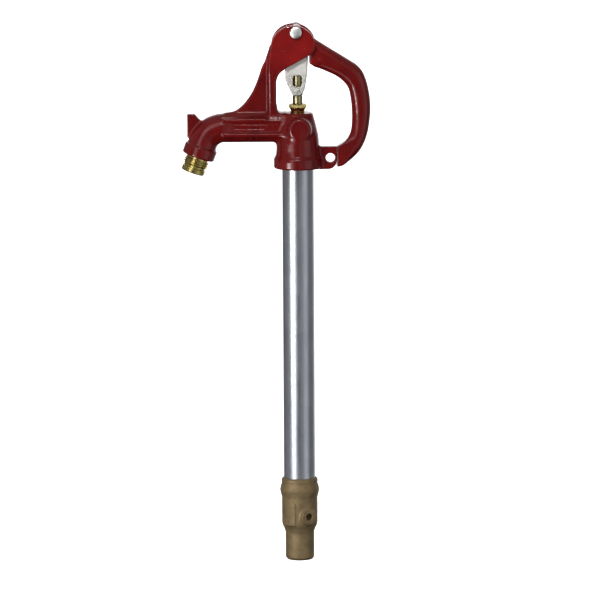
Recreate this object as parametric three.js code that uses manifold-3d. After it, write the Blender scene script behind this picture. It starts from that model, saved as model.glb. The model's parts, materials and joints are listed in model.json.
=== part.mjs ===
// A frost-proof yard hydrant: cast head with a hose spout and a D-shaped lever, a linkage that lifts a
// long rod inside the standpipe, and a buried bronze valve that drains the pipe when it is shut.
// Units are millimetres and +Z is up the pipe. The origin is the centre of the valve's inlet mouth.
// The spout points towards -X, the lever towards +X, and -Y is the front.

import * as THREE from 'three';
import { mergeVertices } from 'three/addons/utils/BufferGeometryUtils.js';
import Module from 'manifold-3d';

const wasm = await Module();
wasm.setup();

// ---- Driving dimensions ---------------------------------------------------------------------------

const fit = 0.3; // gap between pieces that seat on or screw into each other
const glide = 0.5; // gap between pieces that move past each other
const cutPast = 2; // how far a cutting tool runs beyond the face that it opens

const pipe = { outer: 33.4, bore: 26.6, exposed: 330.5, engaged: 17.5 };

const valve = {
  height: 88.5, socketWall: 2.2, bodyWall: 1.9, ringProud: 3.9,
  inletRadius: 12.2, inletDepth: 12.5, inletWall: 3, hubHeight: 29.5, shoulderHeight: 8.5,
  seatRadius: 6.5, seatThickness: 4, chamberRadius: 10,
};
const drain = {
  azimuth: Math.PI / 6, bossRadius: 9, bossProud: 1.9, tapRadius: 3.5, tapDepth: 6, portRadius: 1.4,
};
const strapFlat = { right: -4.5, cornerWidth: 4, left: -15, fromTop: 22, cornerHeight: 6, proud: 0.7 };

const seal = { radius: 8.4, thickness: 3.5, proud: 1.8 };
const oRing = { section: 2, spacing: 6.2, gap: 0.15 };
const plunger = { floor: 6.6, waterPort: 1.3, waterway: 4, neckRadius: 7, neckHeight: 15, pistonTop: 4 };
const screw = { radius: 2, headRadius: 4, headHeight: 2.4, grip: 5, washer: 1.4, washerRadius: 5.6 };
const springPin = { radius: 1.5 };

const rod = { radius: 4.75, thread: 12, nutHeight: 5.5 };
const stem = { radius: 5.15, threadRadius: 3.8 };
const coupling = { wall: 2.9, length: 34, belowHead: 19, rodGap: 4 };

const head = {
  collarWall: 8.6, collarHeight: 11, neckWall: 5.5, capRadius: 14.6, capHeight: 58.9,
  chamberRadius: 15, chamberTop: 37, bossX: 2, bossRadius: 12, bossProud: 1,
};
const stuffing = { depth: 17, nutNeck: 7.5, nutWall: 1.4, flangeRadius: 10.5, flangeHeight: 4, rings: 3 };
const spout = {
  axis: 42.9, radius: 15.4, boreRadius: 9, straight: 77.5, bendRadius: 24, bend: THREE.MathUtils.degToRad(70.5),
  tail: 15, collarRadius: 17.4, collarLength: 11, boreDrop: 2.5,
};
const nozzle = {
  boreRadius: 8, spigot: 9, spigotWall: 2.5, neck: 3, thread: 7, groove: 2.3, lip: 5.5, outer: 13.4,
};
const bailLug = { thickness: 8, pastBend: 38.9, above: 14.9, below: 9.9, width: 18.4 };

const pivot = {
  x: -1.5, height: 145, boltRadius: 4, headRadius: 6.4, headHeight: 4.2, bossRadius: 6.9,
  washer: 1.4, nutHeight: 5, nutRadius: 7.3, boltPast: 10,
};
const ear = { centreX: -4.2, centreHeight: 128.3, radius: 23.8, thickness: 6 };
const column = {
  inner: -22.3, width: 8.5, filletRadius: 8, baseHalf: 10.5, foot: 50, flareFrom: 66, flareTo: 112,
};
const web = { thickness: 8 };
const padlockLug = {
  centreX: 34.2, height: 11, right: 41, halfHeight: 12, corner: 9, topCorner: 3, hole: 4.9, thickness: 10,
};

const crank = { radius: 11.5, pinRadius: 2.6, wall: 2.6 };
const link = { restX: -0.8, tongue: 8, plate: 2.5, neckLength: 10, windowHalf: 4.6 };
const rodPin = { height: 83.3, radius: 2.1, slack: 0.75 };
const lever = { travel: Math.PI / 2, heel: 12.4, crankWall: 4, tipTop: 23.2, tipLow: 1.6 };
const rodEnd = { wall: 0.15, bottom: 77.2, top: 99.5 };

const round = 32; // sides of the large turned pieces
const fine = 16; // sides of pins, screws and small holes
const sealed = 24; // sides of the turned pieces sealed inside

// ---- Sizes worked out from the driving dimensions ---------------------------------------------------

const headZ = valve.height + pipe.exposed;
const couplingZ = headZ - coupling.belowHead;
const rodTopZ = couplingZ - coupling.rodGap / 2;
const stemBottomZ = couplingZ + coupling.rodGap / 2;
const pivotZ = headZ + pivot.height;
const crankLean = Math.asin((link.restX - pivot.x) / crank.radius);
const crankPinAt = (turn) => ({
  x: pivot.x + crank.radius * Math.sin(crankLean + turn),
  z: pivotZ - crank.radius * Math.cos(crankLean + turn),
});
const restPin = crankPinAt(0);
const openPin = crankPinAt(lever.travel);
const rodPinZ = headZ + rodPin.height;
const linkLength = restPin.z - rodPinZ;
const linkTilt = Math.asin((openPin.x - link.restX) / linkLength);
const rodTravel = openPin.z - linkLength * Math.cos(linkTilt) - rodPinZ;

const socketRadius = pipe.outer / 2 + fit;
const valveRim = socketRadius + valve.socketWall;
const valveBody = socketRadius + valve.bodyWall;
const hubRadius = valve.inletRadius + valve.inletWall;
const valveSocketZ = valve.height - pipe.engaged - glide;
const seatZ = valve.inletDepth + valve.seatThickness;

const sealZ = seatZ + fit;
const pistonZ = sealZ + seal.proud;
const plungerFloorZ = sealZ + seal.thickness + fit;
const waterPortZ = plungerFloorZ + plunger.floor + plunger.waterPort;
const lowerRingZ = waterPortZ + plunger.waterPort + oRing.section * 0.8;
const upperRingZ = lowerRingZ + oRing.spacing;
const drainZ = (lowerRingZ + upperRingZ) / 2 + rodTravel;
const pistonRadius = valve.chamberRadius - fit;
const pistonTopZ = upperRingZ + plunger.pistonTop;
const plungerTopZ = pistonTopZ + plunger.neckHeight;
const rodBottomZ = plungerTopZ - rod.thread;
const springPinZ = plungerTopZ - rod.thread / 2;

const rodEndRadius = stem.radius + fit + rodEnd.wall;
const linkHalf = rodEndRadius + fit + link.plate;
const earInner = linkHalf + glide;
const earOuter = earInner + ear.thickness;
const nutNeckRadius = stem.radius + fit + stuffing.nutWall;
const stuffingRadius = nutNeckRadius + fit;

// ---- Materials --------------------------------------------------------------------------------------

const finish = (color, roughness, metalness) => new THREE.MeshStandardMaterial({ color, roughness, metalness });
const enamel = finish(0x7a1c20, 0.35, 0.1);
const galvanised = finish(0xa9acb4, 0.4, 0.9);
const bronze = finish(0x8c7550, 0.55, 0.85);
const brass = finish(0xa58a4e, 0.35, 0.95);
const zinc = finish(0xc9cfcb, 0.3, 0.9);
const castAlloy = finish(0xb4b0a4, 0.55, 0.7);
const steel = finish(0x8d8f90, 0.45, 0.9);
const rubber = finish(0x202020, 0.85, 0);
const graphite = finish(0x2d2c2a, 0.8, 0.1);

// ---- Building blocks --------------------------------------------------------------------------------

// A closed manifold solid from any closed three.js geometry, with its faces turned outwards.
function solid(geometry) {
  const bare = geometry.index ? geometry.toNonIndexed() : geometry.clone();
  bare.deleteAttribute('normal');
  bare.deleteAttribute('uv');
  const merged = mergeVertices(bare, 1e-4);
  const place = merged.attributes.position;
  const index = merged.index.array;
  const corners = [];
  let volume = 0;
  const [a, b, c] = [new THREE.Vector3(), new THREE.Vector3(), new THREE.Vector3()];
  for (let i = 0; i < index.length; i += 3) {
    const [p, q, r] = [index[i], index[i + 1], index[i + 2]];
    if (p === q || q === r || r === p) continue;
    corners.push(p, q, r);
    volume += a.fromBufferAttribute(place, p).dot(
      b.fromBufferAttribute(place, q).cross(c.fromBufferAttribute(place, r)));
  }
  if (volume < 0) corners.reverse();
  return new wasm.Manifold(new wasm.Mesh({
    numProp: 3,
    vertProperties: new Float32Array(place.array),
    triVerts: new Uint32Array(corners),
  }));
}

const join = (...pieces) => pieces.reduce((sum, piece) => sum.add(piece));
const cut = (body, ...tools) => tools.reduce((left, tool) => left.subtract(tool), body);

// A turned solid about the Z axis, from [radius, height] points.
function turned(points, sides = round) {
  const profile = points.map(([radius, height]) => new THREE.Vector2(radius, height));
  return solid(new THREE.LatheGeometry(profile, sides).rotateX(Math.PI / 2));
}

// A ring about the Z axis, between two radii and two heights.
const tube = (inner, outer, low, high, sides = round) =>
  turned([[inner, low], [outer, low], [outer, high], [inner, high], [inner, low]], sides);

// A round bar between two points.
function bar(radius, from, to, sides = fine) {
  const start = new THREE.Vector3(...from);
  const way = new THREE.Vector3(...to).sub(start);
  const geometry = new THREE.CylinderGeometry(radius, radius, way.length(), sides);
  geometry.applyQuaternion(new THREE.Quaternion().setFromUnitVectors(
    new THREE.Vector3(0, 1, 0), way.clone().normalize()));
  return solid(geometry.translate(...start.addScaledVector(way, 0.5).toArray()));
}

// A bar through the object from front to back at x, z.
const crossBar = (radius, x, z, front, back, sides = fine) => bar(radius, [x, front, z], [x, back, z], sides);

// A flat outline in the XZ plane, made thick from y = front to y = back.
function slab(shape, front, back, arcSteps = 8) {
  const geometry = new THREE.ExtrudeGeometry(shape, {
    depth: back - front, bevelEnabled: false, curveSegments: arcSteps,
  });
  return solid(geometry.rotateX(Math.PI / 2).translate(0, back, 0));
}

const block = (low, high) => solid(new THREE.BoxGeometry(
  high[0] - low[0], high[1] - low[1], high[2] - low[2]).translate(
  (low[0] + high[0]) / 2, (low[1] + high[1]) / 2, (low[2] + high[2]) / 2));

// An outline from points relative to the head's base; each item is [x, height].
function outline(...points) {
  const shape = new THREE.Shape();
  shape.moveTo(points[0][0], headZ + points[0][1]);
  for (const [x, height] of points.slice(1)) shape.lineTo(x, headZ + height);
  return shape;
}

const onHead = (points) => points.map(([x, height]) => new THREE.Vector2(x, headZ + height));

// A hexagon about the Z axis, turned into a prism.
const hexPrism = (acrossCorners, low, high) => solid(
  new THREE.CylinderGeometry(acrossCorners, acrossCorners, high - low, 6)
    .rotateX(Math.PI / 2).translate(0, 0, (low + high) / 2));

const hydrant = new THREE.Group();

function add(name, shape, material) {
  const { vertProperties, triVerts } = shape.getMesh();
  const geometry = new THREE.BufferGeometry();
  geometry.setAttribute('position', new THREE.BufferAttribute(vertProperties, 3));
  geometry.setIndex(new THREE.BufferAttribute(triVerts, 1));
  geometry.computeVertexNormals();
  const mesh = new THREE.Mesh(geometry, material);
  mesh.name = name;
  hydrant.add(mesh);
}

// ---- Standpipe and buried valve ---------------------------------------------------------------------

function standpipe() {
  return tube(pipe.bore / 2, pipe.outer / 2, valveSocketZ + glide, headZ + pipe.engaged - glide);
}

function valveBodyCasting() {
  const shoulderTop = valve.hubHeight + valve.shoulderHeight;
  const ring = socketRadius + valve.ringProud;
  const outside = turned([
    [0, 0], [hubRadius - 1.9, 0], [hubRadius, 2.2], [hubRadius, valve.hubHeight],
    [valveBody - 0.9, shoulderTop - 2], [valveBody, shoulderTop],
    [valveBody, valve.height - 22], [ring - 1, valve.height - 17], [ring, valve.height - 13.5],
    [ring - 0.8, valve.height - 9.5], [valveBody, valve.height - 6], [valveRim, valve.height - 4.5],
    [valveRim, valve.height - 1], [valveRim - 0.8, valve.height], [0, valve.height],
  ]);
  const facing = new THREE.Vector3(Math.sin(drain.azimuth), -Math.cos(drain.azimuth), 0);
  const towards = (reach) => [facing.x * reach, facing.y * reach, drainZ];
  const face = valveBody + drain.bossProud;
  const boss = bar(drain.bossRadius, towards(valve.chamberRadius + 2), towards(face), 28);
  // A cast pad on the front left, for a strap wrench.
  const flatTop = valve.height - strapFlat.fromTop;
  const pad = slab(new THREE.Shape([
    new THREE.Vector2(strapFlat.left, shoulderTop), new THREE.Vector2(strapFlat.right, shoulderTop),
    new THREE.Vector2(strapFlat.right, flatTop - strapFlat.cornerHeight),
    new THREE.Vector2(strapFlat.right - strapFlat.cornerWidth, flatTop),
    new THREE.Vector2(strapFlat.left, flatTop),
  ]), -valveBody * 1.2, -valve.chamberRadius).intersect(
    bar(valveBody + strapFlat.proud, [0, 0, 0], [0, 0, valve.height], round));
  return cut(
    join(outside, pad, boss),
    turned([[0, -cutPast], [valve.inletRadius, -cutPast], [valve.inletRadius, valve.inletDepth],
      [valve.seatRadius, valve.inletDepth], [valve.seatRadius, seatZ], [valve.chamberRadius, seatZ],
      [valve.chamberRadius, valveSocketZ - 5], [pipe.bore / 2, valveSocketZ], [socketRadius, valveSocketZ],
      [socketRadius, valve.height + cutPast], [0, valve.height + cutPast]]),
    bar(drain.tapRadius, towards(face + cutPast), towards(face - drain.tapDepth)),
    bar(drain.portRadius, towards(face), towards(valve.chamberRadius - cutPast), 12),
  );
}

// ---- Plunger: everything that seals inside the valve -------------------------------------------------

function plungerBody() {
  const groove = valve.chamberRadius - oRing.section - 2 * oRing.gap;
  const ringGroove = (height) => tube(
    groove, pistonRadius + cutPast, height - oRing.section * 0.6, height + oRing.section * 0.6, sealed);
  const body = turned([
    [0, pistonZ], [pistonRadius, pistonZ], [pistonRadius, pistonTopZ], [plunger.neckRadius, pistonTopZ + 2],
    [plunger.neckRadius, plungerTopZ], [0, plungerTopZ],
  ], sealed);
  const upperPortZ = pistonTopZ + 0.5;
  const ports = [0, Math.PI / 2].flatMap((angle) => [waterPortZ, upperPortZ].map((height) => {
    const [x, y] = [Math.cos(angle) * valve.chamberRadius, Math.sin(angle) * valve.chamberRadius];
    return bar(plunger.waterPort, [-x, -y, height], [x, y, height], 12);
  }));
  return cut(
    body,
    ringGroove(lowerRingZ),
    ringGroove(upperRingZ),
    ...ports,
    bar(seal.radius + fit, [0, 0, pistonZ - cutPast], [0, 0, plungerFloorZ], sealed),
    bar(plunger.waterway, [0, 0, waterPortZ - plunger.waterPort * 0.5], [0, 0, upperPortZ]),
    bar(rod.radius + fit, [0, 0, rodBottomZ - fit], [0, 0, plungerTopZ + cutPast]),
    bar(screw.radius + fit, [0, 0, pistonZ - cutPast], [0, 0, plungerFloorZ + screw.grip]),
    crossBar(springPin.radius + fit, 0, springPinZ, -2 * plunger.neckRadius, 2 * plunger.neckRadius, 12),
  );
}

const oRingAt = (height) => turned(
  Array.from({ length: 7 }, (_, i) => {
    const angle = (i / 6) * 2 * Math.PI;
    const half = oRing.section / 2;
    const middle = valve.chamberRadius - oRing.gap - half;
    return [middle + half * Math.cos(angle), height + half * Math.sin(angle)];
  }), sealed);

const sealWasherZ = sealZ - fit;
const plungerSeal = () => cut(
  bar(seal.radius, [0, 0, sealZ], [0, 0, sealZ + seal.thickness], sealed),
  bar(screw.radius + fit, [0, 0, sealZ - cutPast], [0, 0, sealZ + seal.thickness + cutPast]));
const sealWasher = () => tube(
  screw.radius + fit, screw.washerRadius, sealWasherZ - screw.washer, sealWasherZ, fine);
function sealScrew() {
  const under = sealWasherZ - screw.washer - fit;
  return cut(
    turned([[0, under - screw.headHeight], [screw.headRadius - 0.8, under - screw.headHeight],
      [screw.headRadius, under - screw.headHeight * 0.5], [screw.headRadius, under], [screw.radius, under],
      [screw.radius, plungerFloorZ + screw.grip - fit], [0, plungerFloorZ + screw.grip - fit]], fine),
    block([-0.5, -screw.headRadius - 1, under - screw.headHeight - 1],
      [0.5, screw.headRadius + 1, under - screw.headHeight + 0.8]));
}

// ---- Rod, stem and their joints ----------------------------------------------------------------------

const liftRod = () => cut(
  bar(rod.radius, [0, 0, rodBottomZ], [0, 0, rodTopZ], 24),
  crossBar(springPin.radius + fit, 0, springPinZ, -2 * rod.radius, 2 * rod.radius, 12));
const plungerPin = () => crossBar(
  springPin.radius, 0, springPinZ, -plunger.neckRadius + fit, plunger.neckRadius - fit, 12);
const rodJamNut = () => cut(
  hexPrism(rod.radius * 1.75, plungerTopZ + fit, plungerTopZ + fit + rod.nutHeight),
  bar(rod.radius + fit, [0, 0, plungerTopZ], [0, 0, plungerTopZ + 2 * rod.nutHeight]));

function stemCoupling() {
  const outer = Math.max(stem.radius, rod.radius) + fit + coupling.wall;
  const [low, high] = [couplingZ - coupling.length / 2, couplingZ + coupling.length / 2];
  return turned([
    [rod.radius + fit, low], [outer - 1, low], [outer, low + 1], [outer, high - 1], [outer - 1, high],
    [stem.radius + fit, high], [stem.radius + fit, couplingZ], [rod.radius + fit, couplingZ],
    [rod.radius + fit, low],
  ], 24);
}

const stemShoulderZ = headZ + rodEnd.bottom;
const valveStem = () => turned([
  [0, stemBottomZ], [stem.radius, stemBottomZ], [stem.radius, stemShoulderZ - fit],
  [stem.threadRadius, stemShoulderZ - fit], [stem.threadRadius, headZ + rodPin.height - 6.5],
  [0, headZ + rodPin.height - 6.5],
], 24);

// The brass end of the stem, slotted so that the link's lower pin can drift while the rod rises.
function rodEndPiece() {
  const middle = crankPinAt(lever.travel / 2);
  const drift = {
    x: middle.x - linkLength * Math.sin(linkTilt / 2),
    z: middle.z - linkLength * Math.cos(linkTilt / 2) - rodTravel / 2,
  };
  const reach = rodPin.radius + rodPin.slack;
  const across = new THREE.Vector2(drift.z - rodPinZ, link.restX - drift.x).normalize().multiplyScalar(reach);
  const slot = new THREE.Shape([
    new THREE.Vector2(link.restX + across.x, rodPinZ + across.y),
    new THREE.Vector2(link.restX - across.x, rodPinZ - across.y),
    new THREE.Vector2(drift.x - across.x, drift.z - across.y),
    new THREE.Vector2(drift.x + across.x, drift.z + across.y),
  ]);
  const wide = 3 * rodEndRadius;
  return cut(
    turned([
      [0, stemShoulderZ], [rodEndRadius, stemShoulderZ], [rodEndRadius, headZ + rodEnd.top - 1.5],
      [rodEndRadius - 1.5, headZ + rodEnd.top], [0, headZ + rodEnd.top],
    ], 24),
    slab(slot, -wide, wide),
    crossBar(reach, link.restX, rodPinZ, -wide, wide),
    crossBar(reach, drift.x, drift.z, -wide, wide),
    bar(stem.threadRadius + fit, [0, 0, stemShoulderZ - cutPast], [0, 0, stemShoulderZ + 1.5]),
  );
}

// ---- Linkage -------------------------------------------------------------------------------------------

function linkPiece() {
  const eye = crank.pinRadius + fit + crank.wall;
  const neck = rodPin.height;
  const top = restPin.z - headZ;
  const shoulder = top - link.neckLength;
  const sides = onHead([
    [link.restX - eye, top], [link.restX - eye, shoulder], [-11.6, shoulder - 6], [-12.7, shoulder - 14],
    [-12.8, neck + 11.5], [-10.9, neck + 6], [-8.3, neck + 0.8], [-5.6, neck - 4.7], [-4.4, neck - 5.8],
    [2.8, neck - 5.8], [4.2, neck - 4.4], [7.2, neck - 0.3], [8.5, neck + 6], [9.9, neck + 15],
    [10.8, shoulder - 6], [link.restX + eye, shoulder], [link.restX + eye, top],
  ]);
  const whole = new THREE.Shape(sides);
  const tongueHalf = link.tongue / 2;
  const thickTop = headZ + shoulder - 2;
  const forkTop = headZ + rodEnd.top + 3.5;
  const forkInner = rodEndRadius + fit;
  const far = 40;
  const plates = slab(whole, -linkHalf, linkHalf).subtract(
    block([-far, -far, thickTop], [far, far, headZ + top + far]));
  return cut(
    join(
      slab(whole, -tongueHalf, tongueHalf),
      crossBar(eye, link.restX, restPin.z, -tongueHalf, tongueHalf, 28),
      plates,
    ),
    block([-far, -forkInner, headZ], [far, forkInner, forkTop]),
    crossBar(crank.pinRadius + fit, link.restX, restPin.z, -far, far),
    crossBar(rodPin.radius + fit, link.restX, rodPinZ, -far, far),
    block([-link.windowHalf, -far, rodPinZ + 4.5], [link.windowHalf, 0, forkTop - 4]),
  );
}

const pinClip = (pinRadius, x, z, back) => slab(
  new THREE.Shape().absarc(x, z, pinRadius + 2, 0, 2 * Math.PI), back, back + 0.9).subtract(
  crossBar(pinRadius + 0.1, x, z, back - cutPast, back + cutPast));

// ---- Lever -----------------------------------------------------------------------------------------------

function leverPiece() {
  const half = linkHalf;
  const tip = padlockLug.right + fit;
  const shape = new THREE.Shape();
  shape.absarc(pivot.x, pivotZ, pivot.bossRadius, THREE.MathUtils.degToRad(52), Math.PI, false);
  const pinBoss = crank.pinRadius + fit + lever.crankWall;
  shape.absarc(link.restX, restPin.z, pinBoss, Math.PI, THREE.MathUtils.degToRad(300), false);
  shape.lineTo(lever.heel, headZ + 121);
  shape.lineTo(lever.heel, headZ + 111.4);
  shape.lineTo(18, headZ + 107.3);
  shape.splineThru(onHead([
    [26.4, 104.1], [39.9, 97.8], [48.2, 91.5], [53.4, 85.2], [56, 72.6], [57.1, 59.9], [57, 50.5],
    [56.3, 41], [54.7, 35.8], [50, 28.4], [tip, lever.tipTop],
  ]));
  shape.lineTo(tip, headZ + lever.tipLow);
  shape.splineThru(onHead([
    [46.7, 3.2], [52, 6.3], [60.4, 12.6], [67.8, 22.1], [73, 34.7], [75.2, 47.3], [76.6, 59.9],
    [76.4, 71.5], [74.3, 85.2], [70.8, 97.8], [67.1, 104.1], [60.9, 110.4],
  ]));
  shape.lineTo(20.3, headZ + 135.6);
  const slotHalf = link.tongue / 2 + glide;
  const eye = crank.pinRadius + fit + crank.wall + fit + glide;
  const far = 60;
  const slot = join(
    crossBar(eye, link.restX, restPin.z, -slotHalf, slotHalf, 28),
    slab(new THREE.Shape([
      new THREE.Vector2(link.restX - far, restPin.z + eye + far / 5),
      new THREE.Vector2(link.restX - far, restPin.z - far),
      new THREE.Vector2(link.restX + eye, restPin.z - far),
      new THREE.Vector2(link.restX + eye, restPin.z),
      new THREE.Vector2(link.restX, restPin.z + eye),
    ]), -slotHalf, slotHalf),
  ).intersect(block([-far, -far, headZ], [lever.heel, far, pivotZ]));
  return cut(
    slab(shape, -half, half, 3),
    slot,
    crossBar(pivot.boltRadius + fit, pivot.x, pivotZ, -far, far),
    crossBar(crank.pinRadius + fit, link.restX, restPin.z, -far, far),
  );
}

// ---- Head casting -----------------------------------------------------------------------------------------

const bendStart = new THREE.Vector3(-spout.straight, 0, headZ + spout.axis);
const outDirection = new THREE.Vector3(-Math.cos(spout.bend), 0, -Math.sin(spout.bend));
const bendEnd = new THREE.Vector3(
  bendStart.x - spout.bendRadius * Math.sin(spout.bend), 0,
  bendStart.z - spout.bendRadius * (1 - Math.cos(spout.bend)));
const spoutEnd = bendEnd.clone().addScaledVector(outDirection, spout.tail);

// A quarter-like elbow with straight ends, as one round extrusion from the pipe axis to the outlet.
function spoutRun(radius, from, drop, past, sides) {
  const run = new THREE.CurvePath();
  const low = new THREE.Vector3(0, 0, -drop);
  const start = new THREE.Vector3(from, 0, bendStart.z - drop);
  const knee = bendStart.clone().add(low);
  run.add(new THREE.LineCurve3(start, knee));
  run.add(new THREE.QuadraticBezierCurve3(
    knee, new THREE.Vector3(bendStart.x - spout.bendRadius * Math.tan(spout.bend / 2), 0, bendStart.z - drop / 2),
    bendEnd));
  run.add(new THREE.LineCurve3(bendEnd, spoutEnd.clone().addScaledVector(outDirection, past)));
  const ring = new THREE.Shape().absarc(0, 0, radius, 0, 2 * Math.PI);
  return solid(new THREE.ExtrudeGeometry(ring, { steps: 16, extrudePath: run, curveSegments: sides / 2 }));
}

// A point at a distance along the outlet's axis, counted from the end of the spout.
const alongOutlet = (distance) => spoutEnd.clone().addScaledVector(outDirection, distance).toArray();

function headCasting() {
  const base = headZ;
  const collar = socketRadius + head.collarWall;
  const neck = socketRadius + head.neckWall;
  const body = turned([
    [0, base], [collar - 1.8, base], [collar, base + 1.8], [collar, base + head.collarHeight - 1],
    [collar - 1.2, base + head.collarHeight + 1], [neck + 0.3, base + head.collarHeight + 3.5],
    [neck, base + 20], [neck, base + 28], [neck - 1.5, base + 39.5], [head.capRadius + 4, base + 48],
    [head.capRadius + 2, base + 54.3], [head.capRadius, base + 57.5],
    [head.capRadius - 5, base + head.capHeight], [0, base + head.capHeight],
  ]);
  const frontBoss = crossBar(
    head.bossRadius, head.bossX, base + spout.axis, -neck - head.bossProud, 0, 28);
  const spoutTube = spoutRun(spout.radius, 0, 0, 0, 20);
  const spoutCollar = bar(spout.collarRadius, alongOutlet(-spout.collarLength), alongOutlet(0), 32);
  const bailLeft = -spout.straight - bailLug.pastBend;
  const bailTop = spout.axis + bailLug.above;
  const bailLow = spout.axis - bailLug.below;
  const bail = slab(outline(
    [bailLeft, bailLow], [bailLeft, bailTop - 1], [bailLeft + 1.3, bailTop], [bailLeft + 8.4, bailTop],
    [bailLeft + 11.8, bailTop - 4.2], [bailLeft + bailLug.width, bailTop - 9.8],
    [bailLeft + bailLug.width, bailLow],
  ), -bailLug.thickness / 2, bailLug.thickness / 2);

  const rim = new THREE.Shape();
  rim.moveTo(column.inner - 1, headZ + column.foot);
  rim.lineTo(-75.4, headZ + column.foot);
  rim.lineTo(-75.4, headZ + 58);
  rim.splineThru(onHead([
    [-67.1, 59.9], [-58.6, 66.2], [-52.3, 73.5], [-47, 82], [-41.7, 94.6], [-37.4, 107.3], [-33.4, 116],
  ]));
  rim.lineTo(-26, headZ + 116);
  const webPlate = slab(rim, -web.thickness / 2, web.thickness / 2);

  const columnSide = new THREE.Shape([
    new THREE.Vector2(-column.baseHalf, base + column.foot),
    new THREE.Vector2(column.baseHalf, base + column.foot),
    new THREE.Vector2(column.baseHalf, base + column.flareFrom),
    new THREE.Vector2(earOuter, base + column.flareTo),
    new THREE.Vector2(earOuter, base + column.flareTo + 10),
    new THREE.Vector2(-earOuter, base + column.flareTo + 10),
    new THREE.Vector2(-earOuter, base + column.flareTo),
    new THREE.Vector2(-column.baseHalf, base + column.flareFrom),
  ]);
  const columnBar = solid(new THREE.ExtrudeGeometry(columnSide, { depth: column.width, bevelEnabled: false })
    .rotateX(Math.PI / 2).rotateZ(Math.PI / 2).translate(column.inner - column.width, 0, 0));
  const foot = new THREE.Shape();
  foot.moveTo(column.inner - 1, base + column.foot);
  foot.lineTo(column.inner - 1, base + head.capHeight + column.filletRadius);
  foot.absarc(column.inner + column.filletRadius, base + head.capHeight - 1 + column.filletRadius,
    column.filletRadius, Math.PI, 1.5 * Math.PI, false);
  foot.lineTo(-10, base + column.foot);
  const columnFoot = slab(foot, -column.baseHalf, column.baseHalf);

  const plate = new THREE.Shape();
  plate.absarc(ear.centreX, base + ear.centreHeight, ear.radius, 0.24, Math.PI, false);
  plate.lineTo(-33.9, base + 114);
  plate.lineTo(column.inner - column.width, base + 103);
  plate.lineTo(column.inner - column.width, base + 90);
  plate.lineTo(column.inner, base + 90);
  plate.quadraticCurveTo(column.inner + 1, base + 103, -11.2, base + 107.6);
  plate.lineTo(11, base + 119.7);
  plate.quadraticCurveTo(
    17.8, base + 124.5,
    ear.centreX + ear.radius * Math.cos(0.24), base + ear.centreHeight + ear.radius * Math.sin(0.24));
  const ears = [[-earOuter, -earInner], [earInner, earOuter]].map(([front, back]) => slab(plate, front, back, 9));

  const lugTop = padlockLug.height + padlockLug.halfHeight;
  const lugLow = padlockLug.height - padlockLug.halfHeight;
  const { corner, topCorner } = padlockLug;
  const lug = new THREE.Shape();
  lug.moveTo(10, base + lugTop);
  lug.lineTo(10, base + lugLow);
  lug.absarc(padlockLug.right - corner, base + lugLow + corner, corner, -Math.PI / 2, 0, false);
  lug.absarc(padlockLug.right - topCorner, base + lugTop - topCorner, topCorner, 0, Math.PI / 2, false);
  const lugPlate = slab(lug, -padlockLug.thickness / 2, padlockLug.thickness / 2);

  const stuffingZ = base + head.capHeight - stuffing.depth;
  const waterTop = base + head.chamberTop;
  return cut(
    join(body, frontBoss, spoutTube, spoutCollar, bail, webPlate, columnBar, columnFoot, ...ears, lugPlate),
    turned([
      [0, base - cutPast], [socketRadius, base - cutPast], [socketRadius, base + pipe.engaged],
      [pipe.bore / 2, base + pipe.engaged + 2], [head.chamberRadius, base + pipe.engaged + 4],
      [head.chamberRadius, waterTop - 3], [head.chamberRadius - 3, waterTop],
      [stem.radius + glide, waterTop], [stem.radius + glide, stuffingZ], [stuffingRadius, stuffingZ],
      [stuffingRadius, base + head.capHeight + cutPast], [0, base + head.capHeight + cutPast],
    ], 32),
    spoutRun(spout.boreRadius, -head.chamberRadius + 4, spout.boreDrop, cutPast, 12),
    bar(nozzle.boreRadius + nozzle.spigotWall + fit, alongOutlet(-nozzle.spigot - fit), alongOutlet(cutPast), 28),
    crossBar(pivot.boltRadius + fit, pivot.x, pivotZ, -2 * earOuter, 2 * earOuter),
    crossBar(padlockLug.hole, padlockLug.centreX, base + padlockLug.height, -20, 20, 24),
    block([column.inner - 4, -earInner, base + 104], [60, earInner, base + 170]),
  );
}

function hoseNozzle() {
  const ridge = nozzle.outer;
  const valley = nozzle.outer - 1.9;
  const lipRadius = nozzle.outer - 0.9;
  const [a, b, c] = [nozzle.neck, nozzle.neck + nozzle.thread, nozzle.neck + nozzle.thread + nozzle.groove];
  const end = c + nozzle.lip;
  const shape = new THREE.LatheGeometry([
    [nozzle.boreRadius, -nozzle.spigot], [nozzle.boreRadius + nozzle.spigotWall, -nozzle.spigot],
    [nozzle.boreRadius + nozzle.spigotWall, fit], [valley, fit], [valley, a], [ridge - 0.7, a], [ridge, a + 1.2],
    [ridge, b - 1.2], [ridge - 0.7, b], [valley, b + 0.3], [valley, c - 0.3], [lipRadius, c + 0.4],
    [lipRadius, end - 0.8], [lipRadius - 0.8, end], [nozzle.boreRadius, end], [nozzle.boreRadius, -nozzle.spigot],
  ].map(([radius, height]) => new THREE.Vector2(radius, height)), 28);
  shape.applyQuaternion(new THREE.Quaternion().setFromUnitVectors(new THREE.Vector3(0, 1, 0), outDirection));
  return solid(shape.translate(...spoutEnd.toArray()));
}

// ---- Stem packing -------------------------------------------------------------------------------------------

const stemHole = stem.radius + fit;
const packingSpace = stuffing.depth - stuffing.nutNeck - fit;
const glandHeight = 1.5;
const ringHeight = (packingSpace - glandHeight) / stuffing.rings - fit;
const packingFloorZ = headZ + head.capHeight - stuffing.depth;

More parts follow.
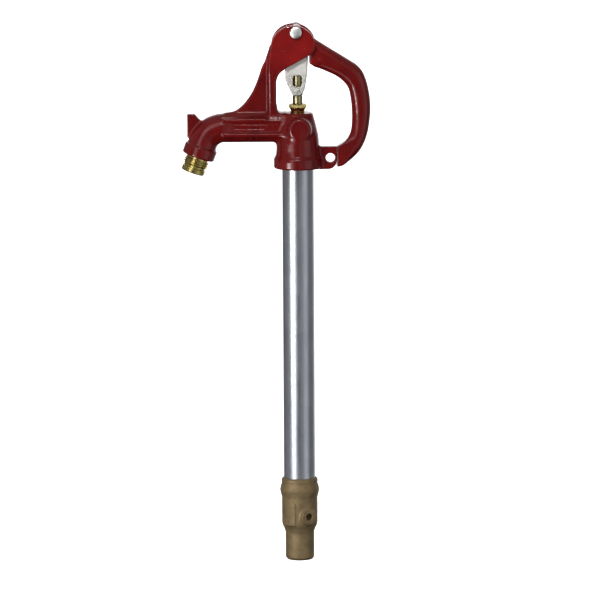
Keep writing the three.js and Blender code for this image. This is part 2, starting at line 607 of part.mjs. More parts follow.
function packingNut() {
  const low = headZ + head.capHeight - stuffing.nutNeck;
  const seat = headZ + head.capHeight + 5.2;
  const top = seat + stuffing.flangeHeight;
  return cut(
    join(
      bar(nutNeckRadius, [0, 0, low], [0, 0, seat + 1], 28),
      hexPrism(stuffing.flangeRadius, seat, top - 0.8),
      turned([[0, seat - 2.5], [nutNeckRadius, seat - 2.5], [stuffing.flangeRadius - 1.6, seat],
        [stuffing.flangeRadius - 1.6, top - 0.8], [stuffing.flangeRadius - 3, top], [0, top]], 24),
    ),
    bar(stemHole, [0, 0, low - cutPast], [0, 0, top + cutPast], 24),
  );
}

// ---- Assembly ---------------------------------------------------------------------------------------------------

add('head_casting', headCasting(), enamel);
add('hose_nozzle', hoseNozzle(), brass);
add('standpipe', standpipe(), galvanised);
add('valve_body', valveBodyCasting(), bronze);

add('packing_nut', packingNut(), brass);
const glandZ = packingFloorZ + stuffing.rings * (ringHeight + fit) + fit;
add('packing_gland', tube(stemHole, stuffingRadius - fit, glandZ, glandZ + glandHeight, sealed), brass);
for (let i = 0; i < stuffing.rings; i += 1) {
  const low = packingFloorZ + fit + i * (ringHeight + fit);
  add(`packing_ring_${i + 1}`, tube(stemHole, stuffingRadius - fit, low, low + ringHeight, sealed), graphite);
}

const boltEnd = earOuter + pivot.boltPast;
add('pivot_bolt', join(
  crossBar(pivot.boltRadius, pivot.x, pivotZ, -earOuter - 1, boltEnd, 24),
  bar(pivot.headRadius, [pivot.x, -earOuter - fit - pivot.headHeight, pivotZ],
    [pivot.x, -earOuter - fit, pivotZ], 24),
), zinc);
const boltHole = crossBar(pivot.boltRadius + fit, pivot.x, pivotZ, 0, 2 * boltEnd);
const washerFront = earOuter + fit;
add('pivot_washer', crossBar(pivot.headRadius + 1.2, pivot.x, pivotZ, washerFront, washerFront + pivot.washer, 24)
  .subtract(boltHole), zinc);
const nutFront = washerFront + pivot.washer + fit;
add('pivot_nut', crossBar(pivot.nutRadius, pivot.x, pivotZ, nutFront, nutFront + pivot.nutHeight, 6)
  .subtract(boltHole), zinc);

add('lever', leverPiece(), enamel);
add('crank_pin', crossBar(crank.pinRadius, link.restX, restPin.z, -linkHalf + 0.2, linkHalf - 0.2), steel);
add('link', linkPiece(), castAlloy);
add('link_pin', join(
  crossBar(rodPin.radius, link.restX, rodPinZ, -linkHalf - 0.2, linkHalf + 2.2),
  crossBar(rodPin.radius + 1.1, link.restX, rodPinZ, -linkHalf - 1.3, -linkHalf - 0.2),
), steel);
add('link_pin_clip', pinClip(rodPin.radius + 0.2, link.restX, rodPinZ, linkHalf + 0.5), steel);

add('rod_end', rodEndPiece(), brass);
add('stem', valveStem(), brass);
add('stem_coupling', stemCoupling(), brass);
add('lift_rod', liftRod(), steel);
add('rod_jam_nut', rodJamNut(), brass);
add('plunger_pin', plungerPin(), steel);
add('plunger_body', plungerBody(), bronze);
add('plunger_o_ring_lower', oRingAt(lowerRingZ), rubber);
add('plunger_o_ring_upper', oRingAt(upperRingZ), rubber);
add('plunger_seal', plungerSeal(), rubber);
add('seal_washer', sealWasher(), brass);
add('seal_screw', sealScrew(), brass);

export default hydrant;
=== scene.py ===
"""A frost-proof yard hydrant: cast head and lever in dark red enamel on a galvanised standpipe.

Castings are modelled as signed distance functions in millimetres and meshed by a surface net, so that
every inside corner has its fillet and every edge its radius. Turned pieces are spun from rings. Places
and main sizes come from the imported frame; heights on the head are over the head's own base.
"""

import json
import math

import bpy
import numpy as np
from mathutils import Matrix, Vector


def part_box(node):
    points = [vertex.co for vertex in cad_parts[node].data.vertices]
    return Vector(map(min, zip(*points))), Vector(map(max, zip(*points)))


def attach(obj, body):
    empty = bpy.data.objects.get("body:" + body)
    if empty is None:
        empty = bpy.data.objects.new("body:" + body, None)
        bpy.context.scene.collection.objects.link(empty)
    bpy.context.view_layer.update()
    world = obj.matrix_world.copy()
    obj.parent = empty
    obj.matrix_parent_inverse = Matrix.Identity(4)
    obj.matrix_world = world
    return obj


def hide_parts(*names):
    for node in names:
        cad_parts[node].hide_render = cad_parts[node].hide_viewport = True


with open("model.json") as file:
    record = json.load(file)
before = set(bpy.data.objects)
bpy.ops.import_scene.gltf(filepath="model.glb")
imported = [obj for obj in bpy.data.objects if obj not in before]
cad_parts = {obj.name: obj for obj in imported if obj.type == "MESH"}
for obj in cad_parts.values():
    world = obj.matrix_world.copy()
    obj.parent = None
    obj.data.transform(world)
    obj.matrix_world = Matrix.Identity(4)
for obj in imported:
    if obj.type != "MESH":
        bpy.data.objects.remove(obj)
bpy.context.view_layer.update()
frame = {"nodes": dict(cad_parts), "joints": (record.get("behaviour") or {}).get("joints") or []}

MM = 0.001
FIT = 0.3  # gap between pieces that seat on each other, mm
COARSE = 1.0


# ---- Places, from the frame, in millimetres ----


def corners(node):
    """Lowest and highest corner of a CAD node in millimetres."""
    low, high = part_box(node)
    return low / MM, high / MM


def middle(node):
    low, high = corners(node)
    return (low + high) / 2


def joint(name):
    return next(j for j in frame["joints"] if j["name"] == name)


def joint_place(name):
    """A joint's point in millimetres."""
    return Vector(joint(name)["pos_m"]) / MM


HEAD_LOW, HEAD_HIGH = corners("head_casting")
LUG_DROP = 1.0  # the padlock lug hangs this far under the head's base
HEAD_Z = HEAD_LOW.z + LUG_DROP
PIVOT = joint_place("handle_pivot")
CRANK = joint_place("link_swing")
LINK_PIN = middle("link_pin")
PIVOT_HEIGHT = PIVOT.z - HEAD_Z
CRANK_HEIGHT = CRANK.z - HEAD_Z
LINK_PIN_HEIGHT = LINK_PIN.z - HEAD_Z
ROD_TRAVEL = joint("rod_lift")["range_m"][1] / MM
PIPE_LOW, PIPE_HIGH = corners("standpipe")
PIPE_RADIUS = PIPE_HIGH.x
SOCKET_RADIUS = PIPE_RADIUS + FIT
PIPE_BORE = 13.3  # radius
VALVE_HEIGHT = corners("valve_body")[1].z
STEM_RADIUS = corners("stem")[1].x
LEVER_HALF = corners("lever")[1].y
LUG_RIGHT = 41.0
LUG_HALF = 5.0
LEVER_TIP = LUG_RIGHT + FIT
TIP_LEAN = 0.09  # the face between the padlock lug and the lever's tip leans by this much across it
LINK_HALF = corners("link")[1].y
BOLT_HEAD = 4.2
BOLT_SHANK = 4.0
BOLT_HOLE = 4.3
CRANK_HOLE = 2.9
LINK_PIN_HOLE = 2.4
EAR_OUTER = -corners("pivot_bolt")[0].y - BOLT_HEAD - FIT
EAR_INNER = EAR_OUTER - 6.0

SPOUT_AXIS = 42.9
SPOUT_RADIUS = 15.4
SPOUT_STRAIGHT = 77.5
SPOUT_BEND_RADIUS = 24.0
SPOUT_BEND = math.radians(70.5)
SPOUT_TAIL = 15.0
OUT = np.array([-math.cos(SPOUT_BEND), 0.0, -math.sin(SPOUT_BEND)])
BEND_END = np.array([
    -SPOUT_STRAIGHT - SPOUT_BEND_RADIUS * math.sin(SPOUT_BEND),
    0.0,
    SPOUT_AXIS - SPOUT_BEND_RADIUS * (1 - math.cos(SPOUT_BEND)),
])
SPOUT_END = BEND_END + OUT * SPOUT_TAIL


# ---- Distance functions ----


def blend_union(a, b, k):
    """The two solids joined, with a fillet of about k where they meet."""
    h = np.maximum(k - np.abs(a - b), 0.0) / k
    return np.minimum(a, b) - h * h * k * 0.25


def blend_cut(a, tool, k):
    """Solid a less the tool, with the edge eased by about k."""
    return -blend_union(-a, tool, k)


def rounded_and(u, v, radius):
    """Where both distances are negative, with the corner between them rounded."""
    u = u + radius
    v = v + radius
    outside = np.hypot(np.maximum(u, 0.0), np.maximum(v, 0.0))
    return np.minimum(np.maximum(u, v), 0.0) + outside - radius


def between(value, low, high):
    """Distance outside the span from low to high, negative inside it."""
    return np.abs(value - (low + high) / 2) - (high - low) / 2


COS_30 = 0.866


def hexagon(u, v, flat):
    """A hexagonal bar with two of its flats across u; flat is half the width across flats."""
    slanted = np.maximum(np.abs(0.5 * u + COS_30 * v), np.abs(0.5 * u - COS_30 * v))
    return np.maximum(np.abs(u), slanted) - flat


def smooth_step(value, low, high):
    t = np.clip((value - low) / (high - low), 0.0, 1.0)
    return t * t * (3 - 2 * t)


def outline(points):
    """Signed distance to a closed outline in the XZ plane, as a function of x and z."""

    def distance(x, z):
        best = np.full(np.broadcast(x, z).shape, np.inf)
        inside = np.zeros(best.shape, bool)
        for (ax, az), (bx, bz) in zip(points, points[1:] + points[:1]):
            ex, ez = bx - ax, bz - az
            wx, wz = x - ax, z - az
            t = np.clip((wx * ex + wz * ez) / (ex * ex + ez * ez), 0.0, 1.0)
            best = np.minimum(best, (wx - ex * t) ** 2 + (wz - ez * t) ** 2)
            if abs(ez) > 1e-9:
                inside ^= ((az > z) != (bz > z)) & (x < ax + ex * (z - az) / ez)
        return np.where(inside, -1.0, 1.0) * np.sqrt(best)

    return distance


def smooth_line(points, steps):
    """A curve through the points, as Catmull-Rom stretches."""
    p = [np.array(q, float) for q in points]
    p = [p[0], *p, p[-1]]
    line = []
    for a, b, c, d in zip(p, p[1:], p[2:], p[3:]):
        for i in range(steps):
            t = i / steps
            line.append(tuple(0.5 * (2 * b + (c - a) * t + (2 * a - 5 * b + 4 * c - d) * t * t
                                     + (3 * b - a - 3 * c + d) * t ** 3)))
    return line + [tuple(p[-1])]


def arc(x, z, radius, start, end, steps):
    """Points on an arc in the XZ plane; angles in degrees."""
    angles = np.radians(np.linspace(start, end, steps + 1))
    return [(x + radius * math.cos(a), z + radius * math.sin(a)) for a in angles]


def profile(points, ease):
    """Distance to a turned shape given as (height, radius), with its steps eased over about ease mm."""
    grid = 0.1
    reach = 30  # the easing looks this many grid steps each way
    heights = np.array([p[0] for p in points], float)
    radii = np.array([p[1] for p in points], float)
    fine = np.arange(heights[0] - 3 * ease, heights[-1] + 3 * ease, grid)
    raw = np.interp(fine, heights, radii)
    kernel = np.exp(-0.5 * (np.arange(-reach, reach + 1) * grid / (0.5 * ease)) ** 2)
    soft = np.convolve(np.pad(raw, reach, mode="edge"), kernel / kernel.sum(), mode="valid")
    slope = np.gradient(soft, grid)

    def distance(r, z):
        radius = np.interp(z, fine, soft)
        steep = np.interp(z, fine, slope)
        return (r - radius) / np.sqrt(1 + steep * steep)

    return distance


def capsule(x, y, z, a, b, radius):
    """A round-ended bar from a to b."""
    a, b = np.array(a, float), np.array(b, float)
    along = b - a
    px, py, pz = x - a[0], y - a[1], z - a[2]
    t = np.clip((px * along[0] + py * along[1] + pz * along[2]) / (along @ along), 0.0, 1.0)
    return np.sqrt((px - along[0] * t) ** 2 + (py - along[1] * t) ** 2 + (pz - along[2] * t) ** 2) - radius


def disc(x, z, y, centre, radius, front, back, rounding):
    """A round boss across the object, centred at centre (x, z), from y front to y back."""
    side = np.hypot(x - centre[0], z - centre[1]) - radius
    return rounded_and(side, between(y, front, back), rounding)


def cast_waves(x, y, z, size, depth):
    """A slow, shallow unevenness, as a sand casting has."""
    k = 2 * math.pi / size
    return depth * (np.sin(k * (x + 0.37 * z)) * np.sin(k * (0.83 * y - 0.41 * x + 1.3))
                    + np.sin(k * 1.31 * (z - 0.29 * y + 2.1)) * np.sin(k * 1.17 * (y + 0.53 * z)))


# ---- Meshing ----


def shift(a, i, j, k):
    """The view of a grid's corner (i, j, k) over all cells."""
    return a[i:a.shape[0] - 1 + i, j:a.shape[1] - 1 + j, k:a.shape[2] - 1 + k]


def surface_net(distance, low, high, step):
    """Vertices and quads of the zero surface of distance(x, y, z) inside the box low to high."""
    before, after = 3.03, 4  # margins in cells; the odd one keeps flat faces off the grid's own planes
    axes = [np.arange(a - before * step, b + after * step, step) for a, b in zip(low, high)]
    x, y, z = axes[0][:, None, None], axes[1][None, :, None], axes[2][None, None, :]
    field = np.ascontiguousarray(
        np.broadcast_to(distance(x, y, z), [len(a) for a in axes]), dtype=np.float32)
    inside = field < 0
    count = sum(shift(inside, i, j, k).astype(np.int8) for i in (0, 1) for j in (0, 1) for k in (0, 1))
    active = (count > 0) & (count < 8)
    cells = np.argwhere(active)
    index = np.full(active.shape, -1, np.int64)
    index[active] = np.arange(len(cells))

    total = np.zeros((len(cells), 3))
    hits = np.zeros(len(cells))
    for axis in range(3):
        others = [a for a in range(3) if a != axis]
        for u in (0, 1):
            for v in (0, 1):
                near = [0, 0, 0]
                near[others[0]], near[others[1]] = u, v
                far = list(near)
                far[axis] = 1
                a = field[tuple((cells + near).T)]
                b = field[tuple((cells + far).T)]
                crosses = (a < 0) != (b < 0)
                t = np.where(crosses, a / np.where(crosses, a - b, 1), 0)
                place = np.tile(np.array(near, float), (len(cells), 1))
                place[:, axis] = t
                total += place * crosses[:, None]
                hits += crosses
    origin = np.array([a[0] for a in axes])
    vertices = origin + (cells + total / hits[:, None]) * step

    quads = []
    for axis in range(3):
        first = [slice(None)] * 3
        second = [slice(None)] * 3
        first[axis] = slice(0, -1)
        second[axis] = slice(1, None)
        a, b = inside[tuple(first)], inside[tuple(second)]
        edges = np.argwhere(a != b)
        starts_inside = a[tuple(edges.T)]
        u, v = [(1, 2), (2, 0), (0, 1)][axis]
        du, dv = np.eye(3, dtype=int)[u], np.eye(3, dtype=int)[v]
        ring = np.stack([
            index[tuple((edges - du - dv).T)], index[tuple((edges - dv).T)],
            index[tuple(edges.T)], index[tuple((edges - du).T)]], axis=1)
        ring[~starts_inside] = ring[~starts_inside][:, ::-1]
        quads.append(ring)
    return vertices, np.concatenate(quads)


def settle(vertices, distance, step):
    """Moves the net's vertices onto the exact surface, along the distance function's slope."""
    reach = 0.1 * step
    farthest = 0.6 * step
    flattest = 0.3  # a smaller squared slope would throw a vertex too far
    start = vertices.copy()
    for _ in range(4):
        d = distance(*vertices.T)
        slope = np.stack([
            (distance(*(vertices + reach * e).T) - distance(*(vertices - reach * e).T)) / (2 * reach)
            for e in np.eye(3)], axis=1)
        size = np.maximum((slope ** 2).sum(1), flattest)
        vertices = vertices - (d / size)[:, None] * slope
        vertices = start + np.clip(vertices - start, -farthest, farthest)
    return vertices


def mesh_object(name, vertices, faces, sharp=None):
    """A Blender object from millimetre vertices, shaded smooth, with edges past the sharp angle kept."""
    mesh = bpy.data.meshes.new(name)
    mesh.from_pydata((np.asarray(vertices) * MM).tolist(), [], [list(map(int, f)) for f in faces])
    mesh.polygons.foreach_set("use_smooth", [True] * len(mesh.polygons))
    if sharp is not None:
        mesh.set_sharp_from_angle(angle=math.radians(sharp))
    mesh.update()
    obj = bpy.data.objects.new(name, mesh)
    bpy.context.scene.collection.objects.link(obj)
    return obj


def cast_object(name, distance, low, high, step, sharp=None):
    """The solid of a distance function, meshed in cells of step millimetres."""
    step *= COARSE
    vertices, quads = surface_net(distance, low, high, step)
    return mesh_object(name, settle(vertices, distance, step), quads, sharp)


def spun_object(name, rings, origin=(0, 0, 0), axis=(0, 0, 1), sides=96, bored=False):
    """A turned piece from (distance along the axis, radius) rings; a radius may vary round the ring.

    A solid piece starts and ends with radius 0. A bored one goes up outside and back down inside.
    """
    axis = np.array(axis, float) / np.linalg.norm(axis)
    across = np.cross([0.0, 1.0, 0.0], axis)
    if np.linalg.norm(across) < 1e-6:
        across = np.array([1.0, 0.0, 0.0])
    across /= np.linalg.norm(across)
    third = np.cross(axis, across)
    angles = np.linspace(0, 2 * math.pi, sides, endpoint=False)
    vertices, loops = [], []
    for along, radius in rings:
        base = np.array(origin, float) + axis * along
        if np.ndim(radius) == 0 and radius == 0:
            loops.append([len(vertices)] * sides)
            vertices.append(base)
            continue
        loops.append(list(range(len(vertices), len(vertices) + sides)))
        spread = np.broadcast_to(radius, sides)
        for a, r in zip(angles, spread):
            vertices.append(base + (across * math.cos(a) + third * math.sin(a)) * r)
    if bored:
        loops.append(loops[0])
    faces = []
    for low, high in zip(loops, loops[1:]):
        for i in range(sides):
            j = (i + 1) % sides
            face = [low[i], low[j], high[j], high[i]]
            face = [v for n, v in enumerate(face) if v not in face[:n]]
            if len(face) > 2:
                faces.append(face)
    return mesh_object(name, vertices, faces, 30)


def thread_rings(start, end, root, crest, pitch, sides):
    """Rings of a screw thread that runs out over half a turn at both ends."""
    per_turn = 14
    steep, full = 2.7, 1.7
    angles = np.linspace(0, 2 * math.pi, sides, endpoint=False)
    steps = max(2, int((end - start) / pitch * per_turn))
    rings = []
    for along in np.linspace(start, end, steps):
        phase = (along / pitch - angles / (2 * math.pi)) % 1.0
        height = np.clip(full - steep * np.abs(phase * 2 - 1), 0, 1)
        fade = np.clip(min(along - start, end - along) / (0.5 * pitch), 0, 1)
        rings.append((along, root + (crest - root) * height * fade))
    return rings


# ---- Materials ----


class Surface:
    """A Principled material whose colour, roughness and relief come from noise in object space."""

    def __init__(self, name, metallic, roughness):
        self.material = bpy.data.materials.new(name)
        self.material.use_nodes = True
        self.tree = self.material.node_tree
        self.shader = self.tree.nodes["Principled BSDF"]
        self.shader.inputs["Metallic"].default_value = metallic
        self.shader.inputs["Roughness"].default_value = roughness
        self.coordinates = self.node("ShaderNodeTexCoord").outputs["Object"]
        self.normal = None

    def node(self, kind, **values):
        made = self.tree.nodes.new(kind)
        for key, value in values.items():
            setattr(made, key, value)
        return made

    def link(self, source, target):
        self.tree.links.new(source, target)

    def stretched(self, scale):
        """Object coordinates scaled along each axis, to draw a pattern out along the piece."""
        mapping = self.node("ShaderNodeMapping")
        mapping.inputs["Scale"].default_value = scale
        self.link(self.coordinates, mapping.inputs["Vector"])
        return mapping.outputs["Vector"]

    def noise(self, size, detail, stretch=None, roughness=0.55):
        """Noise with features of about size metres."""
        made = self.node("ShaderNodeTexNoise")
        made.inputs["Scale"].default_value = 1 / size
        made.inputs["Detail"].default_value = detail
        made.inputs["Roughness"].default_value = roughness
        self.link(self.stretched(stretch) if stretch else self.coordinates, made.inputs["Vector"])
        return made.outputs["Fac"]

    def cells(self, size, stretch):
        """Flat random cells of about size metres, as zinc spangle has."""
        made = self.node("ShaderNodeTexVoronoi")
        made.inputs["Scale"].default_value = 1 / size
        self.link(self.stretched(stretch), made.inputs["Vector"])
        split = self.node("ShaderNodeSeparateColor")
        self.link(made.outputs["Color"], split.inputs["Color"])
        return split.outputs["Red"]

    def remap(self, value, low, high, to_low, to_high):
        made = self.node("ShaderNodeMapRange")
        for socket, number in zip(("From Min", "From Max", "To Min", "To Max"), (low, high, to_low, to_high)):
            made.inputs[socket].default_value = number
        self.link(value, made.inputs["Value"])
        return made.outputs["Result"]

    def mix(self, factor, first, second):
        """Two colours mixed by a factor; each is a colour or the output of an earlier mix."""
        made = self.node("ShaderNodeMix", data_type="RGBA")
        self.link(factor, made.inputs["Factor"])
        for socket, colour in ((made.inputs[6], first), (made.inputs[7], second)):
            if isinstance(colour, tuple):
                socket.default_value = (*colour, 1)
            else:
                self.link(colour, socket)
        return made.outputs[2]

    def colour(self, output):
        self.link(output, self.shader.inputs["Base Color"])

    def roughness(self, output):
        self.link(output, self.shader.inputs["Roughness"])

    def relief(self, height, depth):
        """Adds bump of depth metres from a height output."""
        made = self.node("ShaderNodeBump")
        made.inputs["Distance"].default_value = depth
        self.link(height, made.inputs["Height"])
        if self.normal:
            self.link(self.normal, made.inputs["Normal"])
        self.normal = made.outputs["Normal"]
        self.link(self.normal, self.shader.inputs["Normal"])

    def edges(self, low, high):
        """0 on flats to 1 on worn outside edges."""
        geometry = self.node("ShaderNodeNewGeometry")
        return self.remap(geometry.outputs["Pointiness"], low, high, 0.0, 1.0)


def red_enamel():
    s = Surface("red_enamel", 0.0, 0.25)
    s.shader.inputs["Specular IOR Level"].default_value = 0.40
    s.shader.inputs["Coat Weight"].default_value = 0.30
    s.shader.inputs["Coat Roughness"].default_value = 0.08
    blotch = s.remap(s.noise(0.022, 3.0), 0.35, 0.65, 0.0, 1.0)
    base = s.mix(blotch, (0.170, 0.0085, 0.0095), (0.225, 0.0115, 0.0105))
    specks = s.remap(s.noise(0.0016, 6.0), 0.62, 0.75, 0.0, 1.0)
    s.colour(s.mix(specks, base, (0.10, 0.006, 0.007)))
    s.roughness(s.remap(s.noise(0.012, 5.0), 0.3, 0.7, 0.16, 0.30))
    s.relief(s.noise(0.0060, 3.0), 0.00013)
    s.relief(s.noise(0.0014, 4.0), 0.00005)
    return s.material


def galvanised():
    s = Surface("galvanised", 0.95, 0.35)
    spangle = s.cells(0.007, (1, 1, 0.5))
    streaks = s.noise(0.006, 4.0, (1.0, 1.0, 0.05))
    base = s.mix(s.remap(spangle, 0, 1, 0.25, 0.75), (0.46, 0.48, 0.53), (0.58, 0.60, 0.64))
    s.colour(s.mix(s.remap(streaks, 0.45, 0.7, 0.0, 0.5), base, (0.42, 0.43, 0.45)))
    s.roughness(s.remap(s.noise(0.010, 4.0, (1.0, 1.0, 0.2)), 0.3, 0.7, 0.27, 0.40))
    s.relief(streaks, 0.00005)
    s.relief(s.noise(0.0011, 3.0), 0.00002)
    return s.material


def sand_metal(name, dark, light, bright, metallic, rough, grain):
    """A sand-cast surface: blotchy metal, grain relief and edges rubbed bright."""
    s = Surface(name, metallic, rough)
    blotch = s.remap(s.noise(0.011, 4.0), 0.35, 0.65, 0.0, 1.0)
    base = s.mix(blotch, dark, light)
    s.colour(s.mix(s.edges(0.53, 0.60), base, bright))
    s.roughness(s.remap(s.noise(0.003, 5.0), 0.3, 0.7, rough - 0.08, rough + 0.10))
    s.relief(s.noise(grain * 3.0, 4.0), grain * 0.20)
    s.relief(s.noise(grain, 5.0, roughness=0.7), grain * 0.14)
    return s.material


def turned_metal(name, dark, light, rough):
    """A machined surface with fine tool marks across its axis and a little tarnish."""
    s = Surface(name, 1.0, rough)
    tarnish = s.remap(s.noise(0.006, 5.0), 0.35, 0.7, 0.0, 1.0)
    s.colour(s.mix(tarnish, light, dark))
    s.roughness(s.remap(s.noise(0.004, 4.0), 0.3, 0.7, rough - 0.06, rough + 0.10))
    s.relief(s.noise(0.0016, 3.0, (0.25, 0.25, 6.0)), 0.000025)
    return s.material


def soft_black(name, colour, rough):
    """Rubber or graphite packing."""
    s = Surface(name, 0.0, rough)
    dust = s.remap(s.noise(0.002, 5.0), 0.45, 0.75, 0.0, 1.0)
    s.colour(s.mix(dust, colour, tuple(c * 2.2 for c in colour)))
    s.relief(s.noise(0.0006, 4.0), 0.00004)
    return s.material


ENAMEL = red_enamel()
GALVANISED = galvanised()
BRONZE = sand_metal(
    "cast_bronze", dark=(0.25, 0.19, 0.105), light=(0.34, 0.25, 0.135), bright=(0.48, 0.41, 0.23),
    metallic=0.45, rough=0.55, grain=0.0009)
ALLOY = sand_metal(
    "cast_alloy", dark=(0.54, 0.52, 0.48), light=(0.64, 0.63, 0.59), bright=(0.72, 0.71, 0.68),
    metallic=0.30, rough=0.50, grain=0.0008)
BRASS = turned_metal("turned_brass", (0.44, 0.35, 0.13), (0.66, 0.56, 0.24), 0.24)
STEM_BRASS = turned_metal("stem_brass", (0.36, 0.33, 0.20), (0.52, 0.47, 0.30), 0.30)
ZINC = turned_metal("zinc_plate", (0.66, 0.69, 0.66), (0.84, 0.87, 0.84), 0.38)
STEEL = turned_metal("plain_steel", (0.30, 0.30, 0.31), (0.46, 0.46, 0.47), 0.38)
RUBBER = soft_black("rubber", (0.018, 0.018, 0.018), 0.75)
GRAPHITE = soft_black("graphite", (0.030, 0.029, 0.027), 0.60)


def fit_piece(obj, material, body, slot, *nodes):
    """Gives a new piece its material and its body, and hides the CAD nodes that it stands for; slot is not
    used.
    """
    obj.data.materials.append(material)
    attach(obj, body)
    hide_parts(*nodes)


# ---- Head casting ----

# Heights are over the head's base, depths are from its middle plane.
CAP_HEIGHT = 58.9
BODY_PROFILE = profile([
    (-4, 25.6), (9.5, 25.6), (11.5, 24.9), (14.0, 23.3), (19.0, 22.7), (28.0, 22.5), (36.0, 21.6),
    (42.0, 20.2), (48.0, 18.7), (54.3, 16.9), (60.0, 15.6),
], ease=1.6)
BOSS = {"centre": (2.0, SPOUT_AXIS), "radius": 12.0, "front": -21.9, "rounding": 3.5}
COLLAR = {"radius": 17.4, "length": 11.0}
PANEL = {"left": -84.0, "low": 38.0, "high": 50.8, "floor": 12.1, "fade": 20.0}
BARS = {"rows": (46.4, 41.6), "counts": (7, 5), "length": 4.6, "pitch": 6.6, "radius": 0.7}
BEADS = (
    {"height": 52.0, "depth": 11.6, "left": -78.0, "right": -34.0},
    {"height": 36.4, "depth": 13.2, "left": -78.0, "right": -12.0},
)
BEAD_RADIUS = 2.5

NOZZLE = {
    "bore": 8.0, "wall": 2.5, "spigot": 9.0, "neck": 3.0, "thread": 7.0, "pitch": 2.2, "groove": 2.3,
    "lip": 5.5, "outer": 13.4,
}
PIPE_SOCKET_DEPTH = 17.5
CHAMBER = {"radius": 15.0, "low": 11.0, "high": 37.0}
SPOUT_BORE = 9.0
BORE_START = -4.0
STEM_GAP = 0.5
STUFFING = {"radius": 7.2, "depth": 17.0}

COLUMN_INNER = -22.3
COLUMN_OUTER = -30.8
COLUMN_HALF = 10.5
WEB_HALF = 4.0
YOKE_START = 48.0  # column, web and foot start inside the body, at this height
YOKE_WIDENS = (66.0, 112.0)  # between these heights the column widens into the ears
YOKE_SHARPENS = (92.0, 112.0)  # and between these its edges grow sharper
FORK_FLOOR = 104.0
FORK_BACK = COLUMN_INNER - 4.0
FOOT_RADIUS = 8.0
COLUMN = outline(
    arc(-4.2, 128.3, 23.8, 14, 180, 28)
    + [(-29.0, 122.0), (-30.2, 112.0), (COLUMN_OUTER, 103.0)]
    + [(COLUMN_OUTER, YOKE_START), (COLUMN_INNER, YOKE_START)]
    + smooth_line([(COLUMN_INNER, 90.0), (-21.6, 95.5), (-18.6, 101.5), (-11.2, 107.6)], 4)
    + smooth_line([(11.0, 119.7), (15.4, 122.6), (18.0, 127.0), (18.9, 134.0)], 4)[:-1]
)
WEB = outline(
    smooth_line([
        (-28.8, 129.3), (-32.1, 119.9), (-34.2, 113.6), (-37.4, 107.3), (-41.7, 94.6), (-47.0, 82.0),
        (-52.6, 73.2), (-58.6, 66.2), (-67.1, 60.2), (-75.4, 58.0)], 4)
    + [(-75.4, YOKE_START), (-24.0, YOKE_START), (-24.0, 129.3)]
)
WINDOW_FOOT = outline(
    [(COLUMN_INNER - 1, YOKE_START), (COLUMN_INNER - 1, CAP_HEIGHT + FOOT_RADIUS)]
    + arc(COLUMN_INNER + FOOT_RADIUS, CAP_HEIGHT + FOOT_RADIUS - 1, FOOT_RADIUS, 180, 270, 8)
    + [(-8.0, YOKE_START)]
)

BAIL_HALF = 4.0
BAIL = outline([(-116.4, 33.0), (-116.4, 57.8), (-108.4, 57.8), (-104.6, 53.4), (-97.0, 46.0), (-97.0, 33.0)])
LUG_LEFT = 10.0
LUG_TOP = 23.0
LUG_CORNER = 9.0
LUG_TOP_CORNER = 1.0
LUG = outline(
    [(LUG_LEFT, LUG_TOP), (LUG_LEFT, -LUG_DROP)]
    + arc(LUG_RIGHT - LUG_CORNER, LUG_CORNER - LUG_DROP, LUG_CORNER, -90, 0, 8)
    + arc(LUG_RIGHT - LUG_TOP_CORNER, LUG_TOP - LUG_TOP_CORNER, LUG_TOP_CORNER, 0, 90, 6)
)
PADLOCK = {"x": 34.2, "z": 11.0, "radius": 4.9}


def spout_path(x, z):
    """Distance in the XZ plane from the spout's centreline."""
    straight_x = np.clip(x, -SPOUT_STRAIGHT, 0.0)
    straight = np.hypot(x - straight_x, z - SPOUT_AXIS)
    cx, cz = x + SPOUT_STRAIGHT, z - SPOUT_AXIS + SPOUT_BEND_RADIUS
    angle = np.arctan2(-cx, cz)
    in_bend = (angle >= 0) & (angle <= SPOUT_BEND)
    bend = np.where(in_bend, np.abs(np.hypot(cx, cz) - SPOUT_BEND_RADIUS), np.inf)
    along = np.clip((x - BEND_END[0]) * OUT[0] + (z - BEND_END[2]) * OUT[2], 0.0, SPOUT_TAIL + 8.0)
    tail = np.hypot(x - BEND_END[0] - OUT[0] * along, z - BEND_END[2] - OUT[2] * along)
    return np.minimum(np.minimum(straight, bend), tail)


def outlet_coordinates(x, y, z):
    """Distance along the outlet from the spout's end, and the distance from its axis."""
    px, pz = x - SPOUT_END[0], z - SPOUT_END[2]
    along = px * OUT[0] + pz * OUT[2]
    side = px * OUT[2] - pz * OUT[0]
    return along, np.hypot(side, y)


def side_panel(x, y, z):
    """The recess along each side of the spout, as a tool to cut with, and the rows of raised bars in it.

    The recess grows deeper from its left end and runs into the body.
    """
    deep = smooth_step(x - PANEL["left"], 0.0, PANEL["fade"])
    floor_y = PANEL["floor"] + (SPOUT_RADIUS + 1.0 - PANEL["floor"]) * (1.0 - deep)
    recess = rounded_and(between(z, PANEL["low"], PANEL["high"]), floor_y - np.abs(y), 1.2)
    bars = np.inf
    for row, count in zip(BARS["rows"], BARS["counts"]):
        first = PANEL["left"] + PANEL["fade"]
        turn = np.clip(np.round((x - first) / BARS["pitch"]), 0, count - 1)
        cx = x - first - turn * BARS["pitch"]
        reach = np.clip(cx, -BARS["length"] / 2, BARS["length"] / 2)
        one = np.sqrt((cx - reach) ** 2 + (z - row) ** 2 + (np.abs(y) - floor_y) ** 2) - BARS["radius"]
        bars = np.minimum(bars, one)
    return recess, bars


def head_body(x, y, z, r):
    body = rounded_and(BODY_PROFILE(r, z), between(z, 0.0, CAP_HEIGHT), 1.8)
    boss = disc(x, z, y, BOSS["centre"], BOSS["radius"], BOSS["front"], 0.0, BOSS["rounding"])
    return blend_union(body, boss, 4.0)


